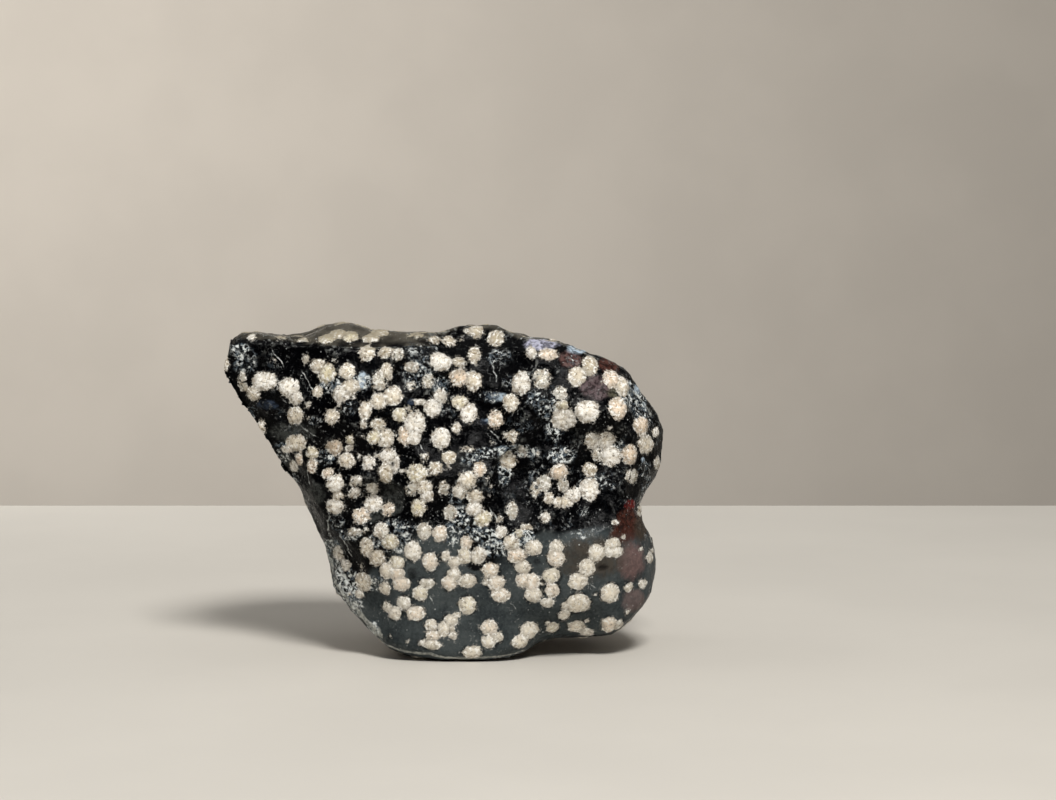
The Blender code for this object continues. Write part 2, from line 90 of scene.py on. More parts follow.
# Snowflakes of the broad face by tint: across, down, half width, half height
SNOWFLAKES = {
    "cream": (
        (225.2, 363.5, 4, 6.5), (253, 393.5, 8, 7.5), (245.5, 388, 3.5, 3.5), (295.5, 415.5, 9.5, 9),
        (318, 366, 8, 7.5), (317.5, 392, 5.5, 6.2), (331.5, 416.5, 8, 8), (261, 427, 5, 7),
        (367, 353, 9, 8.5), (347.5, 372, 8.5, 9), (351, 386.5, 9.5, 8), (386.5, 371, 6.5, 9),
        (393, 396, 9.5, 10), (378.5, 401, 7.5, 8.5), (365, 410, 6.5, 10), (386, 438, 8.5, 10),
        (473.5, 381, 8.5, 11), (510.5, 402.5, 8.5, 9), (577, 376, 9.5, 10.5), (622, 386, 7.5, 11),
        (645.5, 444, 9.5, 9.5), (565, 502, 9, 6), (549, 498, 5.5, 6), (559, 502, 7, 5.5),
        (347, 460, 9.5, 8), (338, 496, 6, 6), (424, 487, 8.5, 8), (456.5, 428, 5, 5.5),
        (467.5, 480, 9.5, 9), (475, 496, 8.5, 7), (386.5, 570, 7, 8.5), (385, 588, 6, 7),
        (387.5, 607.5, 5, 5), (395, 613, 7, 6.5), (446, 556, 4.7, 4.7), (454, 562, 6, 6),
        (454.5, 574, 6.5, 6.5), (451, 620, 7, 6.3), (457, 615, 3.8, 3.3), (431, 625, 6.5, 5.8),
        (444, 628.5, 6.8, 8), (451, 628, 4, 4), (511.5, 542.5, 8, 8.5), (523, 567, 8, 6.5),
        (533.5, 594.5, 8.5, 8), (534, 547.5, 8.7, 7.7), (587, 567.5, 8.7, 8.8), (578, 581, 9.5, 8.5),
        (596.5, 552.5, 8.7, 8.7), (613, 544, 8, 6.5), (610, 593, 10, 10), (628.5, 587.5, 4.5, 4.3),
        (578.5, 603.5, 12.5, 10), (566, 606, 4, 4), (498, 636.5, 5, 5.5), (489, 641.5, 7.3, 6.8),
        (529.5, 630, 9.2, 8.8), (520.5, 641.5, 8.4, 7.4), (576.5, 626.5, 8.5, 6.5),
        (472.5, 652, 9.5, 6.5), (508, 460.5, 8.5, 9.5), (363.5, 581.5, 8.5, 10.5),
        (366.5, 547, 7.5, 10), (377, 558, 8.5, 8.5), (296, 443, 12, 8.5),
    ),
    # Some of these, such as (592.5, 441), (611, 456) and (372, 488), have this palest tint to paint over
    # shade where the skin turns from the light
    "white": (
        (251.5, 337, 5, 4), (264.5, 381, 12.5, 9.8), (289, 387.5, 10.5, 10), (296, 397.5, 7, 7.5),
        (341, 394, 9, 9), (441, 361, 11.5, 10.5), (440, 396, 7.5, 7.5), (432.5, 408, 9, 9),
        (420, 402, 7, 3.5), (363, 424.5, 3.5, 4.5), (415, 423.5, 11, 12), (413.5, 437, 7.5, 9),
        (362.5, 436, 1.7, 1.7), (461.5, 339.5, 2, 2), (531, 352.5, 6, 7), (521, 383, 9.5, 13),
        (469, 413, 9, 10.5), (564, 419, 13, 11), (587, 411.5, 12.5, 12), (606, 440, 9.5, 8.5),
        (589.5, 489, 10, 12), (573, 495, 8, 8), (288, 449, 7, 4), (294, 466, 5, 6),
        (335.5, 483.5, 9, 10), (335, 506, 9.5, 7.5), (368.5, 462.5, 7.5, 7.5), (358.5, 456.5, 2.5, 2.5),
        (388.5, 456, 8.5, 8), (395, 463, 5, 8), (441, 438, 9.5, 11), (427.5, 495.5, 7, 6),
        (374, 503.5, 9.5, 8.5), (402.5, 471, 3, 2), (506, 435.5, 3.5, 3.5), (459.5, 491, 7.5, 8),
        (475, 509, 8.5, 7.5), (545, 517, 5.4, 5.3), (448.5, 467, 2, 2), (487, 478.5, 2, 2),
        (491, 486, 1.7, 1.7), (490, 496, 1.8, 1.8), (492.5, 442.5, 1.1, 1.1), (522, 449.5, 3.7, 3.7),
        (525.5, 454.5, 2.3, 2.3), (538, 453, 1.5, 1.5), (381, 531, 8, 9), (413, 551, 8.5, 10),
        (360, 594, 5, 4), (478.5, 555, 8.5, 8.5), (453, 635.5, 4.3, 4), (423, 643, 4, 3),
        (501, 532, 6, 6.5), (547, 602.5, 7, 5), (614, 552, 9.5, 5.5), (642.5, 584, 5, 4.3),
        (564, 615, 5.5, 6), (547.5, 623, 2, 2), (586.5, 621, 1.6, 1.6), (615, 522.5, 4, 2.5),
        (627.5, 612, 2, 2), (609.5, 429.5, 2.2, 2.2), (349.5, 594, 2, 2), (361.5, 566.5, 2.3, 2.3),
        # (652.5, 550.5) is a painted glint, and the bright chip at (655.5, 432) on the next line is partly
        # a painted highlight
        (623.5, 537.5, 2.2, 2.2), (641, 549, 1.8, 1.8), (652.5, 550.5, 2.4, 2.4), (339, 405, 2.1, 2.1),
        (655.5, 432, 4.5, 5), (586.5, 632.5, 7, 5), (643, 435, 5, 5), (592.5, 441, 8.5, 9),
        (611, 456, 10, 10.5), (338.5, 553, 6, 7.5), (346, 565, 6, 6.5), (372, 488, 6.5, 6.5),
        (354.5, 493, 6.5, 6.5),
    ),
    "yellow": (
        (327, 373, 9.5, 10), (399.5, 414.5, 7.5, 7.5), (374.5, 437, 7.5, 8), (327, 338.7, 9.5, 4.7),
        (350.5, 336.5, 8.5, 6), (460, 402.5, 8.5, 7), (562, 406, 6.5, 6), (312, 452.5, 6.5, 6.5),
        (349.5, 440, 4.5, 5.5), (417, 473.5, 11, 10), (418.5, 508, 7.5, 9), (483, 518.5, 9.5, 8),
        (390, 541.5, 9, 8), (397, 563, 7.5, 7.5), (420.5, 593, 8, 7.5), (467, 605, 8.8, 9),
        (465, 555.5, 7, 8), (519.5, 533, 4, 4.5), (551.5, 576, 9, 7.5), (552.5, 628, 6.2, 5.7),
    ),
    "peach": (
        (405, 435.5, 6.5, 9.5), (459, 377.5, 10, 9.5), (548, 354.5, 10, 6.5), (495.5, 419, 8, 9.5),
        (611, 379, 9.5, 9.5), (617.5, 408, 9.5, 12), (641.5, 425.5, 10, 9.5), (630, 454.5, 8.5, 10.5),
        (559, 471.5, 9, 8), (299, 459, 4.5, 6.5), (312, 466.5, 5.5, 7), (334.5, 447.5, 8.5, 8.5),
        (328, 473.5, 6.5, 6), (388.5, 508.5, 6.5, 7), (360.5, 516, 9, 8), (480, 469, 6.5, 8),
        (397, 573, 7.5, 7), (401, 583.5, 9, 7.5), (440, 533, 7.5, 8.5), (416, 613, 9.5, 7.3),
        (430, 561.5, 7.5, 9), (449, 583, 7.2, 7.7), (466.5, 543, 6.5, 7.5), (433, 635.5, 6.8, 5.8),
        (490.5, 570, 8.8, 7.5), (496, 583, 9, 7.5), (501, 595, 9.5, 7.5), (517, 556, 9.2, 8),
        (523.5, 580, 7.5, 7.5), (532, 582, 8, 8.5), (556, 558, 9, 8), (552.5, 590, 6.7, 7.5),
        (489.5, 627.5, 8.5, 7.5), (609.5, 625, 8.3, 9),
    ),
    "grey": (
        (657, 463, 4, 7), (650, 557, 4.5, 5.5), (640, 509, 3.5, 7), (242, 381.5, 5, 9),
        (305.5, 359, 4, 5), (309, 404.5, 3, 3), (308, 418, 2, 2), (275, 360, 2.5, 2.5),
        (238, 378, 1.2, 1.2), (397, 353.5, 7.5, 7), (380, 381, 8.5, 10), (412, 367, 8, 5.5),
        (411, 386, 5, 4.5), (428, 381, 6, 8), (412, 410, 7, 5), (343, 323.5, 8, 3),
        (280, 337.5, 5, 2.5), (303, 340, 6, 3), (416, 335.5, 9, 3), (466.5, 330.5, 3, 3),
        (542, 378.5, 9.5, 10), (560, 393, 7.5, 7), (598, 455, 6, 7), (563, 485, 6, 7),
        (543.5, 483.5, 7.5, 9), (535, 490, 4.5, 9), (631.5, 476, 7, 8), (349.5, 448, 5, 4),
        (356, 481, 7.5, 6.5), (377.5, 456, 2.5, 3), (424.5, 457.5, 4.5, 4.5), (411, 489.5, 6, 7),
        (444, 488, 5.5, 7.5), (468, 449.5, 7, 3.2), (500, 520, 4, 4), (512, 510.5, 6, 9),
        (450.5, 513, 7, 8), (354, 532, 8, 4.5), (365, 530, 4, 3), (424, 530.5, 7.5, 8.5),
        (404, 603, 7, 7), (427, 583.5, 7.5, 5), (486, 582, 3.5, 3.5), (618.5, 625.5, 5.5, 5.5),
        (595.5, 594, 1, 1), (390, 636, 1, 1), (407.5, 642, 0.9, 0.9), (354, 397.5, 2.4, 2.4),
        (334, 360, 2, 2), (541, 583, 2.2, 2.2), (521, 455, 1.6, 1.6), (566, 452, 1.8, 1.8),
    ),
    "dun": (
        (386, 352, 7.5, 7), (378, 424.5, 8.5, 6.5), (449, 457.5, 7.5, 7.5), (512.5, 436, 6, 6.5),
        (496, 339, 9, 9), (474.5, 355, 6.5, 10), (386, 473, 7, 11.5), (526, 527, 6.5, 3.5),
        (371, 338.4, 8.5, 4.7), (380, 332, 9, 5), (434.5, 340, 7, 4.5), (449, 341.5, 7, 6),
        (459, 362, 7, 6), (589.5, 469.5, 7.5, 7), (432, 644.5, 9, 5.2), (476, 331.5, 7.5, 7.5),
        (338, 334, 9, 5), (467.5, 581, 8.8, 7), (590, 365, 8.5, 11), (436, 468, 7, 7),
        (556.5, 546.5, 7.5, 6),
    ),
}

# How often each tint comes up among the snowflakes that the view from in front doesn't show
TINT_SHARES = {"cream": 0.29, "white": 0.2, "yellow": 0.16, "peach": 0.19, "grey": 0.1, "dun": 0.06}

# How much of a snowflake of each tint is eaten away, at most
TINT_WEAR = {"cream": 0.25, "white": 0.2, "yellow": 0.2, "peach": 0.25, "grey": 0.6, "dun": 0.25}

# Dark pits in the snowflakes and the glass: across, down, half width
PITS = (
    (534, 379.5, 2.2), (376, 539, 2.6), (393, 464, 2.2), (537, 345, 1.6), (542, 342, 1.4),
    (551.5, 342.5, 1.4), (612, 636, 1.8), (461, 527, 2.5), (548, 527, 3.0),
)

# Where the break is frosted with fine white curls: across, down, half width, half height, strength
FROSTINGS = (
    (499, 358, 14, 10, 0.75), (548, 408, 13, 12, 0.9), (418, 367, 17, 25, 0.7), (350, 409, 8, 8, 0.7),
    (448, 412, 9, 7, 0.5), (488, 453, 14, 6, 1.1), (521, 451, 20, 7, 1.2), (560, 455, 16, 9, 1.2),
    (610, 482, 12, 9, 0.7), (507, 476, 9, 7, 0.8), (537, 472, 9, 28, 0.55), (484, 534, 14, 8, 1.5),
    (493, 547, 14, 10, 1.5), (453, 531, 9, 17, 1.3), (567, 524, 10, 7, 0.4), (587, 532, 15, 11, 0.5),
    (584, 511, 7, 7, 0.6), (337, 522, 9, 9, 0.75), (315, 422, 7, 6, 0.6), (295, 479, 8, 7, 0.7),
    (332, 553, 13, 18, 1.0), (344, 592, 16, 28, 1.7), (373, 629, 8, 8, 1.4), (640, 411, 11, 10, 1.0),
    (631, 390, 7, 10, 1.4), (240, 350, 10, 8, 1.1), (520, 500, 26, 22, 0.12), (398, 530, 18, 14, 0.8),
    (520, 425, 14, 10, 0.4), (575, 440, 8, 12, 0.2), (334, 381, 8, 8, 1.2), (361, 382, 12, 9, 1.7),
    (441, 386, 9, 9, 1.1), (490, 397, 13, 6, 0.9), (556, 426, 7, 17, 0.9), (505, 470, 8, 17, 1.1),
    (620, 450, 8, 7, 0.8), (628, 395, 12, 13, 1.3), (373, 543, 8, 8, 1.2), (523, 538, 13, 8, 1.7),
    (372, 583, 12, 8, 1.5), (352, 606, 12, 14, 1.6), (325, 457, 12, 9, 0.9), (455, 497, 8, 8, 0.9),
    (465, 520, 15, 13, 1.4), (346, 576, 13, 9, 1.7), (582, 533, 11, 6, 0.6), (545, 525, 12, 8, 0.25),
    (600, 480, 10, 10, 0.7), (410, 372, 12, 14, 0.5), (645, 470, 8, 10, 0.7), (648, 420, 7, 8, 0.8),
    (350, 535, 13, 7, 1.4), (395, 545, 16, 12, 1.0), (555, 430, 10, 10, 0.9),
    (590, 483, 11, 7, 0.8), (620, 447, 8, 8, 0.9), (575, 360, 8, 6, 0.6), (505, 548, 9, 8, 1.2),
    (640, 400, 9, 12, 1.3), (330, 385, 12, 8, 0.9), (245, 362, 12, 16, 0.7), (252, 412, 8, 8, 0.8),
    (283, 452, 9, 12, 0.9), (655, 490, 8, 12, 0.8), (535, 500, 8, 14, 0.35), (470, 460, 10, 8, 0.6),
    (534, 398, 10, 9, 0.7), (510, 381, 8, 7, 0.6), (515, 451, 26, 5, 1.9),
)

# Stains and painted sheen, glints and shade: across, down, half width, half height, strength, tint
STAINS_AND_PAINTED_LIGHT = (
    (292, 432, 28, 11, 0.85, "flint"), (314, 494, 13, 13, 0.85, "flint"), (287, 460, 7, 9, 0.8, "flint"),
    (393, 497, 13, 17, 0.75, "flint"), (332, 552, 12, 17, 0.8, "smoke"),
    (571, 359, 14, 10, 0.9, "liver"), (609, 365, 13, 10, 0.95, "brick"), (597, 388, 18, 14, 0.95, "mauve"),
    (613, 393, 7, 6, 0.8, "olive"), (630, 505, 7, 6, 1.0, "blood"), (628, 517, 14, 10, 0.85, "umber"),
    (624, 531, 17, 14, 0.75, "umber"), (632, 562, 16, 21, 0.85, "rose"), (634, 601, 15, 14, 0.8, "ash"),
    (267, 405, 14, 6, 0.6, "haze"), (484, 422, 6, 4, 0.7, "haze"), (489, 420, 3, 2, 0.8, "ice"),
    (494, 397, 10, 5, 0.8, "haze"),
    (412, 402, 5, 4, 0.8, "haze"), (437, 384, 6, 5, 0.6, "haze"), (499, 398, 5, 2, 1.0, "ice"),
    (577, 349, 11, 6, 1.0, "ice"), (541, 344, 19, 7, 1.0, "lilac"),
    (590, 559, 44, 25, 0.7, "taupe"), (641, 528, 9, 16, 0.75, "bark"), (603, 567, 6, 3, 0.8, "pitch"),
    (477, 566, 13, 6, 0.8, "pitch"), (412, 572, 6, 8, 0.5, "pitch"), (536, 562, 5, 4, 0.6, "pitch"),
    (569, 638, 9, 2, 0.9, "pitch"), (660, 395, 3, 3, 0.8, "ice"),
    (643, 460, 3, 3, 0.9, "ice"), (374, 631, 9, 7, 1.0, "ash pale"), (637, 390, 4, 7, 0.9, "ice"),
    (362, 380, 5, 10, 1.0, "ice"), (338, 512, 7, 6, 0.6, "smoke"), (374, 515, 13, 9, 0.7, "flint"),
    (395, 508, 9, 9, 0.7, "flint"), (585, 534, 12, 6, 0.7, "smoke"), (500, 397, 10, 5, 0.6, "ice"),
)

# Stains and painted bluish sheen on the sides that look away: which way the side faces, a point that
# it is seen through in millimetres, half width and half height in millimetres, strength, tint
FAR_STAINS_AND_SHEEN = (
    ((0, 1, 0), (26, 0, 40), 13, 9, 0.9, "brick"), ((0, 1, 0), (34, 0, 34), 9, 7, 0.9, "mauve"),
    ((0, 1, 0), (18, 0, 46), 7, 5, 0.95, "umber"), ((1, 0.4, 0), (0, 6, 40), 9, 9, 0.9, "brick"),
    ((1, 0.2, 0), (0, 2, 28), 8, 10, 0.85, "mauve"), ((1, 0, 0), (0, -2, 44), 7, 5, 0.85, "umber"),
    ((0, 1, 0.3), (-26, 0, 66), 9, 6, 0.7, "haze"), ((0, 1, 0), (-6, 0, 24), 10, 7, 0.7, "haze"),
    ((0.2, 0, 1), (20, 6, 0), 8, 6, 0.8, "mauve"), ((0, 1, 0), (2, 0, 70), 8, 5, 0.8, "liver"),
)

# Thin pale scratches and veins: where each starts and ends
SCRATCHES = (
    (328.5, 513, 329, 537), (232, 345, 240, 352), (236, 350, 248, 356), (357, 388, 362, 376),
    (362, 374, 366, 389), (307, 471, 310, 485), (301, 426, 308, 431), (309, 430, 315, 436),
    (490, 508, 497, 520), (420, 445, 426, 456), (490, 430, 500, 440), (492, 364, 497, 381),
    (511, 604, 516, 609), (591, 583, 596, 588), (585, 506, 581, 516), (588, 507, 585, 516),
    (272, 350, 284, 366), (303, 372, 316, 396), (430, 596, 433, 604), (340, 534, 352, 556),
    (334, 538, 345, 563), (324, 546, 332, 564), (331, 565, 343, 588), (338, 572, 352, 594),
    (341, 586, 355, 607), (347, 590, 362, 612), (352, 603, 368, 622), (330, 553, 338, 570),
    (345, 575, 352, 588), (337, 560, 346, 577),
)
SCRATCH_REACH_MM = 1.2

# Edges worn pale: half width in millimetres, strength, and the places along each one
WORN_EDGES = (
    (0.4, 0.9, (
        (366, 629), (380, 640), (392, 647), (408, 652), (432, 654), (440, 657), (465, 658), (490, 657),
        (508, 655), (522, 651), (534, 646), (545, 640),
    )),
    (0.8, 0.95, (
        (329, 556), (333, 570), (336, 584), (342, 592), (347, 599), (353, 606), (360, 614), (367, 622),
        (375, 630), (381, 636),
    )),
    (0.3, 0.7, ((321, 541), (326, 556), (333, 572), (342, 588))),
    (0.25, 0.6, ((327, 548), (335, 566), (345, 584), (358, 604))),
    (0.45, 0.75, ((641, 497), (648, 512), (652, 527), (655, 541))),
    (0.5, 0.7, ((620, 376), (629, 388), (638, 395), (645, 404), (651, 415))),
    (0.15, 0.5, ((319, 345.5), (340, 346.8), (365, 348), (385, 347), (396, 347))),
    (0.3, 0.6, ((566, 341), (582, 352), (598, 359))),
)
EDGE_REACH_MM = 2.0

# A snowflake is a ball of needles: how far it goes into the stone, as a share of its half width,
# and the least facing that a slope counts with when it makes a ball deeper
FLAKE_DEPTH = 1.5
LEAST_FACING = 0.4

# Beyond this distance from every snowflake a point counts as plain glass
FLAKE_FAR_MM = 1.3

# How the wear and the brightness of snowflakes vary, as shares
FACE_WEAR = (0.4, 1.0)
FAR_WEAR = (0.3, 1.0)
FLAKE_SHADES = (0.86, 1.08)

# The swelling of a snowflake: where it is full and where it ends, outside its border in millimetres,
# and how much of it the smooth face loses
SWELLING_MM = (-1.3, 0.2)
SWELLING_LOSS = 0.4

# The unseen snowflakes: how many are small, their half widths, and the mean and spread of the others
SMALL_SHARE = 0.16
SMALL_HALF_MM = (0.4, 1.2)
HALF_MM = (2.15, 0.38)
LEAST_HALF_MM = 0.35
MOST_HALF_MM = 3.1
SQUEEZE = (0.85, 1.15)

# How far apart touching ones are, and the least gap in a group and between groups, in sums of half widths
TOUCHING = (0.8, 0.96)
GAP_IN_GROUP = 0.72
GAP_BETWEEN_GROUPS = 1.1

# How often a group grows on, how clear of the seen skin each one keeps, and after how many tries it ends
GROW_ON = 0.62
CLEAR_OF_SEEN = 0.5
MOST_TRIES = 30000

# Where the smooth lower part of the broad face begins: across, down, and how softly
SMOOTH_EDGE = (
    (300, 640), (330, 618), (352, 596), (374, 569), (398, 547), (425, 525), (455, 538), (485, 562),
    (515, 556), (545, 536), (600, 536), (640, 520), (665, 505),
)
SMOOTH_FADE = 7.0
SMOOTH_WANDER = 14

# How a point of the smooth part may face: the normal's y where it is wholly smooth and where it is rough
SMOOTH_FACING = (-0.55, -0.1)

# The sloped band of the top: across, down of its front edge and of its crest, and how steep it is
TOP_BAND = (
    (228, 338, 334, 0.5), (240, 337, 331, 0.5), (253, 337.5, 330.7, 0.55), (268.7, 340, 332.3, 0.55),
    (288.6, 342.5, 335.2, 0.55), (301, 343.5, 334.6, 0.55), (314.7, 344.2, 329.5, 0.55),
    (325.4, 344.8, 324.9, 0.55), (343.8, 345.8, 320.9, 0.6), (353, 346.3, 322.6, 0.6),
    (368, 347, 328.7, 0.55), (386.8, 346, 330.6, 0.55), (406.7, 345.6, 331.4, 0.55),
    (429.7, 345, 331.4, 0.6), (445, 343, 331, 0.8), (457.6, 339, 324.4, 1.0), (476, 339, 323.6, 1.0),
    (496, 339, 324.2, 1.0), (511, 342, 331, 0.8), (529.7, 345, 337.6, 0.7), (545, 346, 338, 0.6),
    (560, 348, 341, 0.6), (575, 350, 350, 0.6),
)

# How fast the line of sight sinks at the stone's top, and how much faster the band sinks behind its crest
SIGHT_SLOPE = 0.061
BEHIND_SLOPE = 0.03

# How the band bends over towards its crest, what counts as facing up, how far under its edge and how far
# back it reaches, and the least rise that makes a band
BAND_BEND = 1.6
BAND_FACING = (0.1, 0.4)
BAND_UNDER = (2.5 * MM, 5 * MM)
BAND_BACK = (4 * MM, 15 * MM)
BAND_RISE = (0.1 * MM, MM)

# The lower border of the top face's painted sheen: across, down
TOP_SHEEN_EDGE = (
    (228, 336), (253, 338), (270, 340.5), (301, 344), (340, 346), (368, 347.5), (384, 346.5), (430, 345),
    (445, 334), (457, 326), (484, 326), (496, 330), (513, 336), (530, 342), (545, 341), (560, 343),
)

# What counts as the top face with the painted sheen: how much it faces up and how high it lies, in
# millimetres. Its lower border wanders by this many picture points and fades over this stretch
TOP_FACING = (0.6, 0.88)
TOP_HEIGHT_MM = (70, 76)
TOP_SHEEN_WANDER = 5
TOP_SHEEN_FADE = (-1.5, 1.0)

# Hollows that turn a facet away: across, down, width and depth in millimetres
HOLLOWS = (
    (476, 434, 6.5, 0.55), (466, 441, 4.0, 0.4), (527, 364, 5.5, 0.5), (543, 372, 4.0, 0.35),
    (512, 505, 6.0, 0.5), (532, 508, 4.5, 0.4), (606, 513, 5.0, 0.4), (470, 501, 4.0, 0.3),
)

# The stone's left border where the broad face runs flat out to it: down, across
FLAT_EDGE = (
    (336, 236), (340, 233.5), (352, 229.5), (364, 225), (376, 227), (388, 233), (400, 240), (412, 248.5),
    (424, 257.5), (436, 265), (448, 272.5), (460, 279), (472, 286), (484, 295.5), (496, 302), (508, 307),
)

# Its flat strip reaches this far in, in picture points, and the side behind it gives way this far back
FLAT_STRIP = 12
FLAT_GIVE = 12 * MM

# Where the border's depth is read, how far the strip and the side behind it blend in, and between which
# heights, all in picture points
BORDER_STEP = 0.4
STRIP_BLEND = 1.6 * FLAT_STRIP
SIDE_BLEND = (30, 50)
FLAT_FROM = (338, 348)
FLAT_TO = (470, 505)

# A sight ray that misses the stone is taken to pass its border at this share of the front's depth
BORDER_DEPTH = 0.4

# The scallops of the rough skin: size in millimetres, and share of the full depth
SCALLOPS = ((8.0, 1.0), (3.4, 0.38))
LEAST_SCALLOP = 0.35
SCALLOP_REACH = 0.85
SITE_WEIGHTS = (127.1, 311.7, 74.7)

# The random breaks: widths in millimetres, depths as shares of the width, and how far they lean over
SCOOP = ((4.0, 9.0), (0.03, 0.055), 0.3)
NICK = ((1.6, 3.8), (0.05, 0.11), 0.45)
CHIP = ((1.0, 2.8), (0.08, 0.16), 0.5)

# Wide breaks have ribs round the blow, which lies this share of their width away
RIBBED_FROM = 4 * MM
BLOW_SHARE = 0.45
RIBS_FADE = (0.2, 0.95)

# A ridge stands out over the skin evened by so many passes, and a sharp one by at least this much
SHARP_PASSES = 8
SHARP_MM = 0.1
RIDGE_PASSES = 10

# A break that would push the skin further than this many times its depth is left out, and none reaches
# further than this share of its width
DEEPEST_PUSH = 1.5
BREAK_REACH = 0.8

# A sight ray that ends this far before a point counts as reaching it
SIGHT_SLACK = 0.8 * MM

# Listed frost: its depth as a share of its larger half, and where it fades, as shares of its size
FROST_DEPTH = 2
FROST_BORDER = (0.65, 1.3)

# Frost elsewhere: the wavelength and offset of its patches, where they begin and how strong they are, how
# strong a trace of it is between them, and how a face that turns away from the eye takes it on
PATCH_FIELD = (11.0, 3.1)
PATCH_BORDER = (0.12, 0.42)
PATCH_STRENGTH = 0.8
FAINT_FROST = (0.04, 0.2)
TURNED_FACING = (0.25, 0.6)
TURNED_FROST = (0.3, 0.6)

# Stains and painted light: depth as a share of the larger half, and where they fade, as shares of their
# size
SPOT_DEPTH = 2.5
SPOT_BORDER = (0.5, 1.25)

# Scratches run on past their ends by this share of their length, and fade this far from their middle
PAST_ENDS = 0.3
SCRATCH_FADE = (0.4, 0.6)

# Pits: where they fade, as shares of their size, and how deep they are
PIT_BORDER = (0.5, 1.4)
PIT_DEPTH = 0.35 * MM

# Fine relief: wavelength, offset and share of each field, and its height in millimetres without and with
# frost. The broad swell has its own wavelength, offset and height, and the smooth face loses most of it
FINE_FIELDS = ((1.5, 7.0, 1.0), (0.9, 5.0, 0.6))
FINE_HEIGHT = (0.05, 0.22)
SWELL_FIELD = (5.0, 2.0)
SWELL_HEIGHT = 0.12
SWELL_LOSS = 0.6

# Points of the underside below this height that face down at least this much lie on the ground
FOOT_HEIGHT = 0.12 * MM
FOOT_FACING = -0.8

# The glass: how it bends light, how little it shines, and the distance between ribs in millimetres
GLASS_IOR = 1.5
GLASS_SPECULAR = 0.045
RIB_WAVE_MM = 0.95


def linear(red, green, blue):
    """A colour given by its usual 0 to 255 values, as light values from 0 to 1."""
    shares = [value / 255 for value in (red, green, blue)]
    return [share / 12.92 if share <= 0.04045 else ((share + 0.055) / 1.055) ** 2.4 for share in shares]


def colour_property(name, description, red, green, blue):
    """A colour that the sidebar shows, from its usual 0 to 255 values."""
    return FloatVectorProperty(
        name=name,
        description=description,
        default=linear(red, green, blue),
        subtype="COLOR",
        min=0,
        max=1,
    )


def length_property(name, description, default, least=0.0):
    """A length that the sidebar shows."""
    return FloatProperty(
        name=name, description=description, default=default, min=least, unit="LENGTH", precision=5,
    )


def power_property(name, description, default):
    """The power of a lamp that the sidebar shows."""
    return FloatProperty(name=name, description=description, default=default, min=0, unit="POWER")


def share_property(name, description, default, most=1.0):
    """A share of a whole that the sidebar shows."""
    return FloatProperty(
        name=name, description=description, default=default, min=0, max=most, subtype="FACTOR",
    )


def count_property(name, description, default):
    """A count that the sidebar shows."""
    return IntProperty(name=name, description=description, default=default, min=0)


class OBSIDIAN_PG_skin(PropertyGroup):
    """Sizes of the broken surface."""

    grid: length_property("Grid", "Spacing of the surface's points", 0.00065, 0.0003)
    rounding: count_property("Rounding", "Smoothing passes that blend the solid's flat facets", 5)
    scoops: count_property("Scoops", "Number of shallow shell-shaped breaks", 150)
    nicks: count_property("Nicks", "Number of small breaks between the scoops", 700)
    chips: count_property("Chips", "Number of chips along the sharp ridges", 900)
    scallop: length_property("Scallop depth", "Depth of the hollows that meet in sharp ridges", 0.00055)
    swelling: length_property("Snowflake swelling", "How far a snowflake stands out of the glass", 0.0003)
    seed: IntProperty(name="Seed", description="Start of the random breaks", default=11)


class OBSIDIAN_PG_glass(PropertyGroup):
    """Colours of the glass and its snowflakes."""

    black: colour_property("Black", "Fresh glass", 2, 2, 3)
    # Painted reflection: the grey that the smooth lower face shows for its mirroring of the pale table
    painted_reflection: colour_property("Slate", "The smooth lower face", 43, 49, 52)
    painted_reflection_pale: colour_property("Pale slate", "The paler clouds of the smooth face", 78, 84, 85)
    # Painted sheen: the greige that the top face shows in place of its reflection of the wall
    bloom: colour_property("Bloom", "Dull bloom of the top face", 80, 76, 68)
    cream: colour_property("Cream", "Most of the snowflakes", 223, 213, 194)
    white: colour_property("White", "The palest snowflakes", 243, 240, 233)
    yellow: colour_property("Yellow", "Yellowish snowflakes", 220, 211, 176)
    peach: colour_property("Peach", "Pinkish snowflakes", 229, 205, 180)
    grey: colour_property("Grey", "Worn snowflakes", 176, 175, 166)
    dun: colour_property("Dun", "Dim yellowish-brown snowflakes", 174, 162, 138)
    tan: colour_property("Tan", "Furrows between a snowflake's grains", 160, 143, 115)
    # Dark grains in the snowflakes, and also the painted shade in their creases
    speck_and_crease_shade: colour_property("Speck", "Dark grains in the snowflakes", 92, 80, 64)
    rubbed: colour_property("Rubbed edge", "Pale worn edges", 184, 186, 180)
    frost: colour_property("Frost", "White curls on a frosted break", 222, 226, 224)
    cover: share_property(
        "Snowflake cover", "Share of the unseen sides that snowflakes take up", 0.42, most=0.8,
    )
    gloss: share_property("Glass roughness", "Roughness of fresh glass", 0.08)


class OBSIDIAN_PG_stage(PropertyGroup):
    """The plain stage."""

    table: colour_property("Table", "The pale table top", 209, 204, 195)
    wall: colour_property("Wall", "The plain walls", 196, 188, 177)
    table_depth: length_property("Table edge", "How far behind the stone the table ends", 0.298, 0.1)
    key: power_property("Key light", "Power of the soft light from the right", 13.3)
    overhead: power_property("Overhead light", "Power of the broad light from above", 1.9)
    wall_light: power_property("Wall light", "Power of the light on the wall", 8.7)
    side_light: power_property("Side light", "Power of the weak light over the table's left", 0.45)


